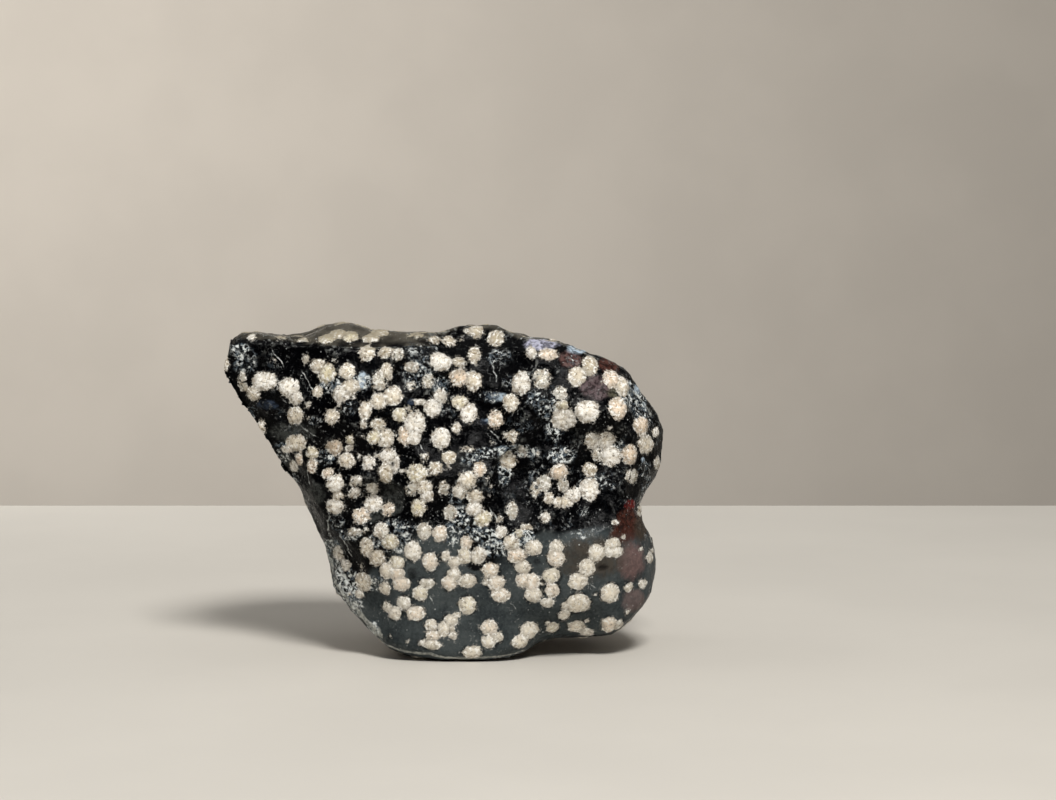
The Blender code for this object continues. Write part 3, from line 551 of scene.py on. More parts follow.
# Tints of the stains, and of the painted bluish sheen, glints and shade
STAIN_AND_PAINTED_LIGHT_TINTS = {
    "liver": linear(96, 70, 66),
    "brick": linear(78, 48, 41),
    "blood": linear(104, 24, 22),
    "umber": linear(72, 41, 33),
    "mauve": linear(96, 82, 84),
    "rose": linear(116, 95, 93),
    "olive": linear(82, 80, 66),
    "ash": linear(104, 92, 90),
    # Painted bluish sheen of the glass
    "haze": linear(50, 60, 76),
    "flint": linear(60, 62, 60),
    # Painted shade: near-black in the smooth face's hollows and beside its snowflakes
    "pitch": linear(10, 10, 12),
    "smoke": linear(74, 78, 76),
    # Painted glints
    "ice": linear(176, 192, 206),
    "lilac": linear(178, 178, 196),
    "ash pale": linear(172, 174, 168),
    "taupe": linear(76, 71, 65),
    "bark": linear(66, 57, 49),
}

# Snowflake tints: painted middle highlight, smooth-face pale, sparks, rim partly painted shade, top-face
# painted shade
PAINTED_MIDDLE_HIGHLIGHT = linear(255, 240, 210)
SMOOTH_LIGHT = linear(253, 248, 236)
SPARK = linear(255, 253, 247)
RIM_GREY_AND_SHADE = linear(118, 113, 104)
TOP_FLAKE_SHADE = linear(148, 139, 119)

# Tints of the glass's grit, ridges and depths, of the pits and of the frost's shadows
GRIT = linear(150, 152, 150)
RIDGE = linear(150, 152, 148)
DEEP_BLACK = linear(1, 1, 2)
PIT_BLACK = linear(6, 6, 8)
FROST_SHADOW = linear(84, 94, 102)


class Skin:
    """The stone's surface while it is worked on: its points, and the way that each one faces."""

    def __init__(self, mesh):
        self.mesh = mesh
        self.points = self.read(mesh.vertices, "co")
        self.refresh()

    @staticmethod
    def read(items, name):
        """A mesh's vectors of this name as rows of numbers."""
        flat = np.empty(len(items) * 3, np.float32)
        items.foreach_get(name, flat)
        return flat.reshape(-1, 3).astype(float)

    def refresh(self):
        """Puts the points back in the mesh, and reads how they face and what lies near what."""
        self.mesh.vertices.foreach_set("co", self.points.astype(np.float32).ravel())
        self.mesh.update()
        self.normals = self.read(self.mesh.vertex_normals, "vector")
        self.near = KDTree(len(self.points))
        for index, point in enumerate(self.points):
            self.near.insert(point, index)
        self.near.balance()
        bm = bmesh.new()
        bm.from_mesh(self.mesh)
        self.surface = BVHTree.FromBMesh(bm)
        bm.free()

    def around(self, place, radius):
        """The numbers of the points within this distance."""
        return np.array([index for _, index, _ in self.near.find_range(place, radius)], int)

    def facing(self, place):
        """The way that the point nearest to this place faces."""
        return Vector(self.normals[self.near.find(place)[1]])

    def store(self, name, values):
        """Keeps one number, or three or four, for each point of the mesh, for the material to read."""
        kinds = {1: ("FLOAT", "value"), 3: ("FLOAT_VECTOR", "vector"), 4: ("FLOAT_COLOR", "color")}
        width = 1 if values.ndim == 1 else values.shape[1]
        kind, field = kinds[width]
        attribute = self.mesh.attributes.new(name, kind, "POINT")
        attribute.data.foreach_set(field, values.astype(np.float32).ravel())


def sight(across, down):
    """The direction in which the eye sees this place of the picture."""
    ray = FORWARD - UPWARD * ((down - PICTURE[1] / 2) / FOCAL)
    ray.x += (across - PICTURE[0] / 2) / FOCAL
    return ray


def seen_on(skin, across, down):
    """The surface point that is seen at this place of the picture, or the one nearest to its ray."""
    ray = sight(across, down)
    place = skin.surface.ray_cast(EYE, ray.normalized())[0]
    if place is None:
        beside = EYE + ray * ((CAD_BOX[0].y * BORDER_DEPTH - EYE.y) / ray.y)
        place = skin.surface.find_nearest(beside)[0]
    return place


def met_on(skin, outward, target):
    """The surface point that a ray meets when it comes from this side and aims at the target."""
    out = Vector(outward).normalized()
    start = Vector(target) * MM + out * VIEW_DISTANCE
    place = skin.surface.ray_cast(start, -out)[0]
    if place is None:
        raise RuntimeError(f"no surface towards {outward} at {target}")
    return place


def reach(points, centre, half_across, half_up, half_deep):
    """How far points are from the middle of a squashed ball that faces the eye, 1 on its skin."""
    offsets = points - np.array(centre)
    across = offsets[:, 0] / half_across
    up = offsets @ np.array(UPWARD) / half_up
    deep = offsets @ np.array(FORWARD) / half_deep
    return np.sqrt(across ** 2 + up ** 2 + deep ** 2)


def fade(values, start, end):
    """1 up to the start, 0 from the end on, and a smooth way down between."""
    share = np.clip((values - end) / (start - end), 0, 1)
    return share * share * (3 - 2 * share)


def grow(values, start, end):
    """0 up to the start, 1 from the end on, and a smooth way up between."""
    return fade(-values, -end, -start)


def picture_size(place):
    """The size of one picture point at this place."""
    return (place - EYE).dot(FORWARD) / FOCAL


def seen_ball(skin, row, depth):
    """The middle and half sizes of a squashed ball where the picture shows it. Its depth is a share of
    its larger half."""
    across, down, half_width, half_height = row
    middle = seen_on(skin, across, down)
    size = picture_size(middle)
    return middle, (half_width * size, half_height * size, depth * max(half_width, half_height) * size)


def field(points, wavelength, offset=0.0):
    """Smooth uneven values from about -0.5 to 0.5, with this wavelength in millimetres."""
    scale = 1 / (wavelength * MM)
    shift = Vector((offset, offset * 0.7, offset * 1.3))
    return np.array([noise.noise(Vector(point) * scale + shift) for point in points])


def apply_modifiers(piece):
    """Replaces a piece's mesh with the one that its modifiers make."""
    graph = bpy.context.evaluated_depsgraph_get()
    graph.update()
    finished = bpy.data.meshes.new_from_object(piece.evaluated_get(graph))
    piece.modifiers.clear()
    old = piece.data
    piece.data = finished
    bpy.data.meshes.remove(old)


def smooth_points(mesh, passes):
    """Evens out a mesh, a little with each pass."""
    bm = bmesh.new()
    bm.from_mesh(mesh)
    for _ in range(passes):
        bmesh.ops.smooth_vert(
            bm, verts=bm.verts, factor=0.5, use_axis_x=True, use_axis_y=True, use_axis_z=True
        )
    bm.to_mesh(mesh)
    bm.free()


def fine_copy(node, name, sizes):
    """A copy of a solid with merged corners, rebuilt as a fine even grid with soft facets."""
    bm = bmesh.new()
    bm.from_mesh(node.data)
    bmesh.ops.remove_doubles(bm, verts=bm.verts, dist=0.001 * MM)
    mesh = bpy.data.meshes.new(name)
    bm.to_mesh(mesh)
    bm.free()
    piece = bpy.data.objects.new(name, mesh)
    bpy.context.scene.collection.objects.link(piece)
    soften = piece.modifiers.new("Soften", "SUBSURF")
    soften.levels = 1
    soften.render_levels = 1
    grid = piece.modifiers.new("Grid", "REMESH")
    grid.mode = "VOXEL"
    grid.voxel_size = sizes.grid
    apply_modifiers(piece)
    smooth_points(piece.data, sizes.rounding)
    return piece


def picture_place(points):
    """Where the eye sees these points: how far across and down the picture."""
    offsets = points - np.array(EYE)
    depths = offsets @ np.array(FORWARD)
    across = PICTURE[0] / 2 + FOCAL * offsets[:, 0] / depths
    down = PICTURE[1] / 2 - FOCAL * (offsets @ np.array(UPWARD)) / depths
    return across, down


def smooth_face(skin):
    """1 on the smooth lower part of the broad face, 0 on the rough rest."""
    across, down = picture_place(skin.points)
    edge = np.interp(across, *zip(*SMOOTH_EDGE)) + field(skin.points, 7.0, 9.0) * SMOOTH_WANDER
    return fade(edge - down, -SMOOTH_FADE, SMOOTH_FADE) * fade(skin.normals[:, 1], *SMOOTH_FACING)


def scallops(points, size):
    """Hollows round random sites that meet in sharp ridges: 0 on the ridges, 1 where deepest."""
    scale = 1 / (size * MM)
    carved = np.zeros(len(points))
    for index, point in enumerate(points):
        distances, sites = noise.voronoi(Vector(point) * scale)
        turn = sum(part * weight for part, weight in zip(sites[0], SITE_WEIGHTS))
        chance = 0.5 + 0.5 * math.sin(turn)
        depth = LEAST_SCALLOP + (1 - LEAST_SCALLOP) * chance
        carved[index] = depth * max(0.0, 1 - (distances[0] / SCALLOP_REACH) ** 2)
    return carved


def scallop_surface(skin, depth):
    """Carves the scallops of every size into the rough skin."""
    rough = 1 - smooth_face(skin)
    for size, share in SCALLOPS:
        carved = scallops(skin.points, size)
        skin.points -= skin.normals * (carved * rough * depth * share)[:, None]
    skin.refresh()


def raise_top(skin):
    """Lifts the flat top behind the broad face's upper edge into a sloped band that shows in front."""
    rows = []
    for across, edge, crest, slope in TOP_BAND:
        place = seen_on(skin, across, edge)
        rows.append((*place, (edge - crest) * picture_size(place), slope))
    columns = np.array(rows).T
    across, behind, height = skin.points.T
    edge_y, edge_z, rise, slope = (np.interp(across, columns[0], column) for column in columns[1:])
    behind = behind - edge_y
    run = np.maximum(rise / (slope + SIGHT_SLOPE), MM)
    share = np.clip(behind / run, 0, 1)
    sinking = SIGHT_SLOPE * behind + BEHIND_SLOPE * np.maximum(behind - run, 0)
    wanted = edge_z + rise * (1 - (1 - share) ** BAND_BEND) - sinking
    upward = grow(skin.normals[:, 2], *BAND_FACING) * fade(edge_z - height, *BAND_UNDER)
    upward *= grow(rise, *BAND_RISE)
    between = grow(behind, 0, MM) * fade(skin.points[:, 1], *BAND_BACK)
    skin.points[:, 2] += np.maximum(wanted - height, 0) * upward * between
    skin.refresh()


def flatten_edge(skin):
    """Carries the broad face flat out to the stone's left border, with a sharp corner there."""
    rows = []
    for down, border in FLAT_EDGE:
        outer, near, inner = (
            seen_on(skin, border + step, down).y for step in (BORDER_STEP, FLAT_STRIP, 2 * FLAT_STRIP)
        )
        slope = (near - inner) / FLAT_STRIP
        rows.append((down, border, near, slope, max(outer - near - slope * FLAT_STRIP, 0)))
    columns = np.array(rows).T
    across, down = picture_place(skin.points)
    border, near, slope, gap = (np.interp(down, columns[0], column) for column in columns[1:])
    inside = across - border
    behind = skin.points[:, 1] - near - slope * (FLAT_STRIP - inside)
    facing = skin.normals @ np.array(FORWARD) < 0
    seen_push = np.maximum(behind, 0) * fade(inside, FLAT_STRIP, STRIP_BLEND)
    side_push = gap * np.clip(1 - (behind - gap) / FLAT_GIVE, 0, 1) * fade(inside, *SIDE_BLEND)
    push = np.where(facing, seen_push, side_push) * fade(down, *FLAT_TO) * grow(down, *FLAT_FROM)
    rays = skin.points - np.array(EYE)
    skin.points -= rays / rays[:, 1:2] * push[:, None]
    skin.refresh()


def top_face(skin, hidden):
    """1 on the top face, where its greige sheen is painted, 0 elsewhere."""
    upward = grow(skin.normals[:, 2], *TOP_FACING) * grow(skin.points[:, 2] / MM, *TOP_HEIGHT_MM)
    across, down = picture_place(skin.points)
    line = np.interp(across, *zip(*TOP_SHEEN_EDGE)) + field(skin.points, 2.5, 1.0) * TOP_SHEEN_WANDER
    return upward * np.maximum(hidden, fade(down - line, *TOP_SHEEN_FADE))


def bite(skin, site, towards, width, depth):
    """Takes a dent of this width and depth out of the skin, the dent of a ball pressed in at the site."""
    radius = (width * width / 4 + depth * depth) / (2 * depth)
    centre = site + towards * (radius - depth)
    near = skin.around(site, width * BREAK_REACH)
    offsets = skin.points[near] - np.array(centre)
    lengths = np.linalg.norm(offsets, axis=1)
    inside = lengths < radius
    touched = near[inside]
    if not len(touched) or (radius - lengths[inside]).max() > DEEPEST_PUSH * depth:
        return touched[:0]
    skin.points[touched] = np.array(centre) + offsets[inside] * (radius / lengths[inside])[:, None]
    return touched


def leaning(normal, spread, most):
    """The normal, leaned over to a random side."""
    side = normal.orthogonal().normalized()
    turn = spread.uniform(0, 2 * math.pi)
    across = side * math.cos(turn) + normal.cross(side) * math.sin(turn)
    return (normal + across * spread.uniform(0, most)).normalized(), across


def break_surface(skin, sizes):
    """Gives the skin its shell-shaped scoops with ribs, its nicks, and chips along the ridges."""
    spread = random.Random(sizes.seed)
    scallop_surface(skin, sizes.scallop)
    count = len(skin.points)
    rib_place = np.zeros(count)
    rib_height = np.zeros(count)
    smooth = smooth_face(skin)
    for number, (widths, slopes, lean) in ((sizes.scoops, SCOOP), (sizes.nicks, NICK)):
        for _ in range(number):
            index = spread.randrange(count)
            width = spread.uniform(*widths) * MM
            depth = width * spread.uniform(*slopes)
            chance = spread.random()
            normal = Vector(skin.normals[index])
            towards, across = leaning(normal, spread, lean)
            if chance < smooth[index]:
                continue
            site = Vector(skin.points[index])
            touched = bite(skin, site, towards, width, depth)
            if width > RIBBED_FROM:
                blow = site + across * width * BLOW_SHARE
                distances = np.linalg.norm(skin.points[touched] - np.array(blow), axis=1)
                rib_place[touched] = distances / MM
                rib_height[touched] = fade(distances / width, *RIBS_FADE)
        skin.refresh()
    press_hollows(skin)
    chip_ridges(skin, sizes, spread)
    skin.store("rib_place", rib_place)
    skin.store("rib_height", rib_height * (1 - smooth))


def ridges(skin, passes):
    """How far each point stands out over the evened skin around it, in millimetres."""
    mesh = skin.mesh.copy()
    smooth_points(mesh, passes)
    even = Skin.read(mesh.vertices, "co")
    bpy.data.meshes.remove(mesh)
    return np.einsum("ij,ij->i", skin.points - even, skin.normals) / MM


def press_hollows(skin):
    """Takes the listed hollows out of the broad face."""
    for across, down, width, depth in HOLLOWS:
        site = seen_on(skin, across, down)
        bite(skin, site, skin.facing(site), width * MM, depth * MM)
    skin.refresh()


def chip_ridges(skin, sizes, spread):
    """Breaks small chips out of the sharpest ridges."""
    widths, slopes, lean = CHIP
    sharp = np.flatnonzero(ridges(skin, SHARP_PASSES) > SHARP_MM)
    for _ in range(sizes.chips):
        index = int(sharp[spread.randrange(len(sharp))])
        width = spread.uniform(*widths) * MM
        towards, _ = leaning(Vector(skin.normals[index]), spread, lean)
        bite(skin, Vector(skin.points[index]), towards, width, width * spread.uniform(*slopes))
    skin.refresh()


class Flake:
    """One snowflake: its middle, its half sizes, its tint and how worn it is."""

    def __init__(self, middle, halves, tint, worn):
        self.middle = Vector(middle)
        self.halves = halves
        self.radius = (halves[0] + halves[1]) / 2
        self.tint = tint
        self.worn = worn


def face_flakes(skin, spread):
    """The snowflakes of the broad face, each where the picture shows it."""
    flakes = []
    for tint, rows in SNOWFLAKES.items():
        for row in rows:
            middle, (wide, high, deep) = seen_ball(skin, row, FLAKE_DEPTH)
            facing = -skin.facing(middle).dot(FORWARD)
            halves = (wide, high, deep / max(facing, LEAST_FACING))
            worn = TINT_WEAR[tint] * spread.uniform(*FACE_WEAR)
            flakes.append(Flake(middle, halves, tint, worn))
    return flakes


def hidden_from_front(skin):
    """True for each point that the eye can't see."""
    hidden = np.zeros(len(skin.points), bool)
    for index, point in enumerate(skin.points):
        ray = Vector(point) - EYE
        distance = ray.length
        met = skin.surface.ray_cast(EYE, ray / distance, distance - SIGHT_SLACK)[0]
        hidden[index] = met is not None
    return hidden


def far_radius(spread):
    """A random half width for an unseen snowflake."""
    small = spread.random() < SMALL_SHARE
    half = spread.uniform(*SMALL_HALF_MM) if small else spread.gauss(*HALF_MM)
    return min(max(half, LEAST_HALF_MM), MOST_HALF_MM) * MM


def far_middle(skin, sites, parent, radius, spread):
    """A random place for an unseen snowflake: touching its parent, or anywhere if it has none."""
    if parent is None:
        return Vector(skin.points[int(sites[spread.randrange(len(sites))])])
    middle, normal, parent_radius = parent
    _, across = leaning(normal, spread, 1)
    return skin.near.find(middle + across * (parent_radius + radius) * spread.uniform(*TOUCHING))[0]


def far_flakes(skin, hidden, spread, share):
    """Snowflakes in touching groups over the rest of the skin, until they take up their share of it."""
    sites = np.flatnonzero(hidden)
    point_area = skin_area(skin.mesh) / len(skin.points)
    wanted = share * len(sites) * point_area
    seen = KDTree(len(skin.points) - len(sites))
    for index in np.flatnonzero(~hidden):
        seen.insert(skin.points[index], int(index))
    seen.balance()
    flakes = []
    middles = np.zeros((0, 3))
    radii = np.zeros(0)
    covered = 0.0
    parent = None
    for _ in range(MOST_TRIES):
        if covered > wanted:
            break
        radius = far_radius(spread)
        middle = far_middle(skin, sites, parent, radius, spread)
        index = skin.near.find(middle)[1]
        clear = seen.find(middle)[2] > radius * CLEAR_OF_SEEN and hidden[index]
        if clear and len(radii):
            gaps = np.linalg.norm(middles - np.array(middle), axis=1) / (radii + radius)
            clear = gaps.min() > (GAP_IN_GROUP if parent else GAP_BETWEEN_GROUPS)
        if not clear:
            parent = None
            continue
        tint = spread.choices(list(TINT_SHARES), weights=list(TINT_SHARES.values()))[0]
        halves = tuple(radius * spread.uniform(*SQUEEZE) for _ in range(3))
        flakes.append(Flake(middle, halves, tint, TINT_WEAR[tint] * spread.uniform(*FAR_WEAR)))
        middles = np.vstack((middles, np.array(middle)))
        radii = np.append(radii, radius)
        covered += math.pi * radius * radius
        parent = (middle, Vector(skin.normals[index]), radius) if spread.random() < GROW_ON else None
    return flakes


def skin_area(mesh):
    """The whole area of a mesh."""
    return sum(polygon.area for polygon in mesh.polygons)


def lay_flakes(skin, flakes, colours, swelling, spread):
    """Tells each point how far outside its nearest snowflake it is, where in it, and its tint."""
    count = len(skin.points)
    rim = np.full(count, FLAKE_FAR_MM)
    second = rim.copy()
    spoke = np.zeros((count, 3))
    tint = np.tile((*colours["cream"], 0.0), (count, 1))
    for flake in flakes:
        near = skin.around(flake.middle, max(flake.halves) + FLAKE_FAR_MM * MM)
        if not len(near):
            continue
        distances = reach(skin.points[near], flake.middle, *flake.halves)
        outside = (distances - 1) * flake.radius / MM
        closer = outside < rim[near]
        second[near] = np.where(closer, rim[near], np.minimum(second[near], outside))
        taken = near[closer]
        rim[taken] = outside[closer]
        spoke[taken] = (skin.points[taken] - np.array(flake.middle)) / flake.radius
        shade = spread.uniform(*FLAKE_SHADES)
        tint[taken] = (*(min(part * shade, 1) for part in colours[flake.tint]), flake.worn)
    height = fade(rim, *SWELLING_MM) * (1 - SWELLING_LOSS * smooth_face(skin))
    skin.points += skin.normals * (height * swelling)[:, None]
    skin.refresh()
    skin.store("flake_rim", rim)
    skin.store("flake_gap", second - rim)
    skin.store("flake_spoke", spoke)
    skin.store("flake_tint", tint)


def lay_frost(skin, hidden):
    """Marks where the break is frosted: as listed on the broad face, in uneven patches elsewhere."""
    frost = np.zeros(len(skin.points))
    for *row, strength in FROSTINGS:
        middle, halves = seen_ball(skin, row, FROST_DEPTH)
        share = fade(reach(skin.points, middle, *halves), *FROST_BORDER)
        frost = np.maximum(frost, share * strength)
    patches = grow(field(skin.points, *PATCH_FIELD), *PATCH_BORDER) * PATCH_STRENGTH
    least, more = FAINT_FROST
    faint = (least + more * patches) * (1 - smooth_face(skin))
    least, more = TURNED_FROST
    turned = fade(-skin.normals @ np.array(FORWARD), *TURNED_FACING) * (least + more * patches)
    frost = np.maximum(frost, np.where(hidden, patches, np.maximum(faint, turned)))
    skin.store("frost", frost)
    return frost


def lay_stains_and_painted_light(skin):
    """Blends the glass's red-brown, mauve and pale stains and its painted sheen, glints and shade."""
    spots = [(*seen_ball(skin, row, SPOT_DEPTH), opacity, tint) for *row, opacity, tint in STAINS_AND_PAINTED_LIGHT]
    for outward, target, half_width, half_height, opacity, tint in FAR_STAINS_AND_SHEEN:
        halves = (half_width * MM, half_height * MM, half_width * MM)
        spots.append((met_on(skin, outward, target), halves, opacity, tint))
    colour = np.zeros((len(skin.points), 3))
    strength = np.zeros(len(skin.points))
    for middle, halves, opacity, tint in spots:
        share = fade(reach(skin.points, middle, *halves), *SPOT_BORDER) * opacity
        colour = colour * (1 - share)[:, None] + np.array(STAIN_AND_PAINTED_LIGHT_TINTS[tint]) * share[:, None]
        strength = strength + share - strength * share
    colour /= np.maximum(strength, 0.001)[:, None]
    skin.store("stain", np.column_stack((np.clip(colour, 0, 1), strength)))


def lay_scratches(skin):
    """Tells each point how far beside the nearest thin scratch it is, and whether it is along it."""
    count = len(skin.points)
    beside = np.full(count, SCRATCH_REACH_MM)
    along = np.zeros(count)
    for first, second, third, fourth in SCRATCHES:
        start = seen_on(skin, first, second)
        end = seen_on(skin, third, fourth)
        line = np.array(end - start)
        length = np.linalg.norm(line)
        line /= length
        side = np.cross(line, np.array(FORWARD))
        offsets = skin.points - np.array(start)
        away = offsets @ side / MM
        run = offsets @ line / length
        deep = np.abs(offsets @ np.array(FORWARD)) < length
        mine = (np.abs(away) < np.abs(beside)) & (run > -PAST_ENDS) & (run < 1 + PAST_ENDS) & deep
        beside[mine] = away[mine]
        along[mine] = fade(np.abs(run[mine] - 0.5), *SCRATCH_FADE)
    skin.store("scratch_beside", beside)
    skin.store("scratch_along", along)


def lay_edges(skin):
    """Tells each point how far outside the nearest worn edge it is, and how strong that edge is."""
    beyond = np.full(len(skin.points), EDGE_REACH_MM)
    strength = np.zeros(len(skin.points))
    for half_width, opacity, places in WORN_EDGES:
        corners = [np.array(seen_on(skin, across, down)) for across, down in places]
        for start, end in zip(corners, corners[1:]):
            line = end - start
            share = np.clip((skin.points - start) @ line / (line @ line), 0, 1)
            away = np.linalg.norm(skin.points - start - share[:, None] * line, axis=1) / MM - half_width
            closer = away < beyond
            beyond[closer] = away[closer]
            strength[closer] = opacity
    skin.store("worn_beyond", beyond)
    skin.store("worn_strength", strength)


def lay_pits(skin):
    """Sinks the dark pits and marks them."""
    pit = np.zeros(len(skin.points))
    for across, down, half in PITS:
        middle = seen_on(skin, across, down)
        radius = half * picture_size(middle)
        distances = np.linalg.norm(skin.points - np.array(middle), axis=1)
        pit = np.maximum(pit, fade(distances / radius, *PIT_BORDER))
    skin.points -= skin.normals * (pit * PIT_DEPTH)[:, None]
    skin.store("pit", pit)


def roughen(skin, frost):
    """Raises fine broken relief where the break is frosted, and a faint swell elsewhere."""
    fine = sum(share * field(skin.points, wavelength, offset) for wavelength, offset, share in FINE_FIELDS)
    least, more = FINE_HEIGHT
    swell = field(skin.points, *SWELL_FIELD) * SWELL_HEIGHT * (1 - SWELL_LOSS * smooth_face(skin))
    rise = fine * (least + more * frost) + swell
    skin.points += skin.normals * (rise * MM)[:, None]


def stand_on_ground(skin):
    """Keeps the foot flat on the ground."""
    skin.points[:, 2] = np.maximum(skin.points[:, 2], 0)
    foot = (skin.points[:, 2] < FOOT_HEIGHT) & (skin.normals[:, 2] < FOOT_FACING)
    skin.points[foot, 2] = 0


class Value:
    """A number that varies over a surface. Arithmetic on it adds Math nodes to its material."""

    def __init__(self, finish, socket):
        self.finish = finish
        self.socket = socket

    def math(self, operation, *others, first=None):
        """The result of a Math node on this value and others, or on a first number and this value."""
        inputs = (self, *others) if first is None else (first, self)
        node = self.finish.add("ShaderNodeMath", {"operation": operation}, dict(enumerate(inputs)))
        return Value(self.finish, node.outputs[0])

    def __add__(self, other):
        return self.math("ADD", other)

    def __mul__(self, other):
        return self.math("MULTIPLY", other)

    def __sub__(self, other):
        return self.math("SUBTRACT", other)

    def __rsub__(self, other):
        return self.math("SUBTRACT", first=other)

    __radd__ = __add__

    def __abs__(self):
        return self.math("ABSOLUTE")

    def between(self, low, high):
        """0 below the low value, 1 above the high one, and a smooth way up between."""
        settings = {"interpolation_type": "SMOOTHSTEP"}
        node = self.finish.add("ShaderNodeMapRange", settings, {0: self, 1: low, 2: high, 3: 0.0, 4: 1.0})
        return Value(self.finish, node.outputs[0])


class Finish:
    """A material while it is written."""

    def __init__(self, name):
        self.material = bpy.data.materials.new(name)
        self.material.use_nodes = True
        self.tree = self.material.node_tree
        self.shader = self.tree.nodes["Principled BSDF"]
        self.place = self.add("ShaderNodeTexCoord").outputs["Object"]

    def add(self, kind, settings=None, inputs=None):
        """Adds a node: first its settings, then the values or links of its sockets."""
        node = self.tree.nodes.new(kind)
        for name, value in (settings or {}).items():
            setattr(node, name, value)
        for name, value in (inputs or {}).items():
            self.feed(node.inputs[name], value)
        return node

    def feed(self, socket, value):
        """Links a value to a socket, or sets a plain number or colour on it."""
        if isinstance(value, Value):
            self.tree.links.new(value.socket, socket)
        elif isinstance(value, bpy.types.NodeSocket):
            self.tree.links.new(value, socket)
        else:
            socket.default_value = value

    def noise(self, wavelength, detail=2.0, roughness=0.5, distortion=0.0, place=None):
        """Uneven values around a half, with this wavelength in millimetres."""
        inputs = {
            "Vector": self.place if place is None else place,
            "Scale": 1 / (wavelength * MM) if place is None else wavelength,
            "Detail": detail,
            "Roughness": roughness,
            "Distortion": distortion,
        }
        return Value(self, self.add("ShaderNodeTexNoise", None, inputs).outputs[0])

    def cells(self, size):
        """Distance to the middle of random cells of this size, and a random value for each cell."""
        inputs = {"Vector": self.place, "Scale": 1 / (size * MM)}
        node = self.add("ShaderNodeTexVoronoi", None, inputs)
        parts = self.add("ShaderNodeSeparateXYZ", None, {0: node.outputs["Color"]})
        return Value(self, node.outputs["Distance"]) * size, Value(self, parts.outputs[0])

    def borders(self, size, bend):
        """Distance in millimetres to the borders of random cells, which bend by this much."""
        inputs = {"Vector": self.place, "Scale": 0.6 / (size * MM), "Detail": 2.0}
        cloud = self.add("ShaderNodeTexNoise", None, inputs).outputs["Color"]
        middle = self.vector("SUBTRACT", {0: cloud, 1: (0.5, 0.5, 0.5)})
        shift = self.vector("SCALE", {0: middle, "Scale": 2 * bend * size * MM})
        moved = self.vector("ADD", {0: self.place, 1: shift})
        settings = {"feature": "DISTANCE_TO_EDGE"}
        inputs = {"Vector": moved, "Scale": 1 / (size * MM)}
        return Value(self, self.add("ShaderNodeTexVoronoi", settings, inputs).outputs["Distance"]) * size

    def vector(self, operation, inputs):
        """The vector that a Vector Math node makes of its inputs."""
        return self.add("ShaderNodeVectorMath", {"operation": operation}, inputs).outputs[0]

    def stored(self, name):
        """The node that reads what the skin stores under this name."""
        return self.add("ShaderNodeAttribute", {"attribute_name": name})

    def number(self, name):
        """One stored number."""
        return Value(self, self.stored(name).outputs["Fac"])

    def mix(self, share, first, second):
        """The first colour, or the second where the share is 1."""
        inputs = {0: share, 6: self.colour(first), 7: self.colour(second)}
        node = self.add("ShaderNodeMix", {"data_type": "RGBA"}, inputs)
        return node.outputs[2]

    def layers(self, colour, *coats):
        """The colour with coats laid over it in order, each one a share and a colour."""
        for share, coat in coats:
            colour = self.mix(share, colour, coat)
        return colour

    @staticmethod
    def colour(value):
        """A colour with its alpha, where it is given as three numbers."""
        if isinstance(value, bpy.types.NodeSocket):
            return value
        return (*value[:3], 1)


def flake_edge(finish, needles, ragged, grain, smooth):
    """How far outside the ragged border of the nearest snowflake a place is, in millimetres."""
    lobes = finish.noise(2.2, detail=1) - 0.5
    spikes = (needles * 0.7 + ragged * 1.1) * (1 - smooth * 0.4)
    return finish.number("flake_rim") + lobes * 0.9 + (grain - 0.45) * 0.3 + spikes - smooth * 0.1 - 0.03


def flake_cover(finish, edge, inside, worn, smooth):
    """1 on the snowflakes, less in their holes and in the dust round them."""
    gnawed = finish.noise(1.2, detail=4, roughness=0.7) + edge.between(-1.2, 0.0) * 0.06
    holes = (gnawed + worn * (0.26 - smooth * 0.2)).between(0.7, 0.74)
    powder = finish.noise(0.8, detail=3, roughness=0.65).between(0.52, 0.62)
    dust = (1 - edge.between(0.0, 0.75)) * powder
    return (inside * (1 - holes)).math("MAXIMUM", dust * 0.55)


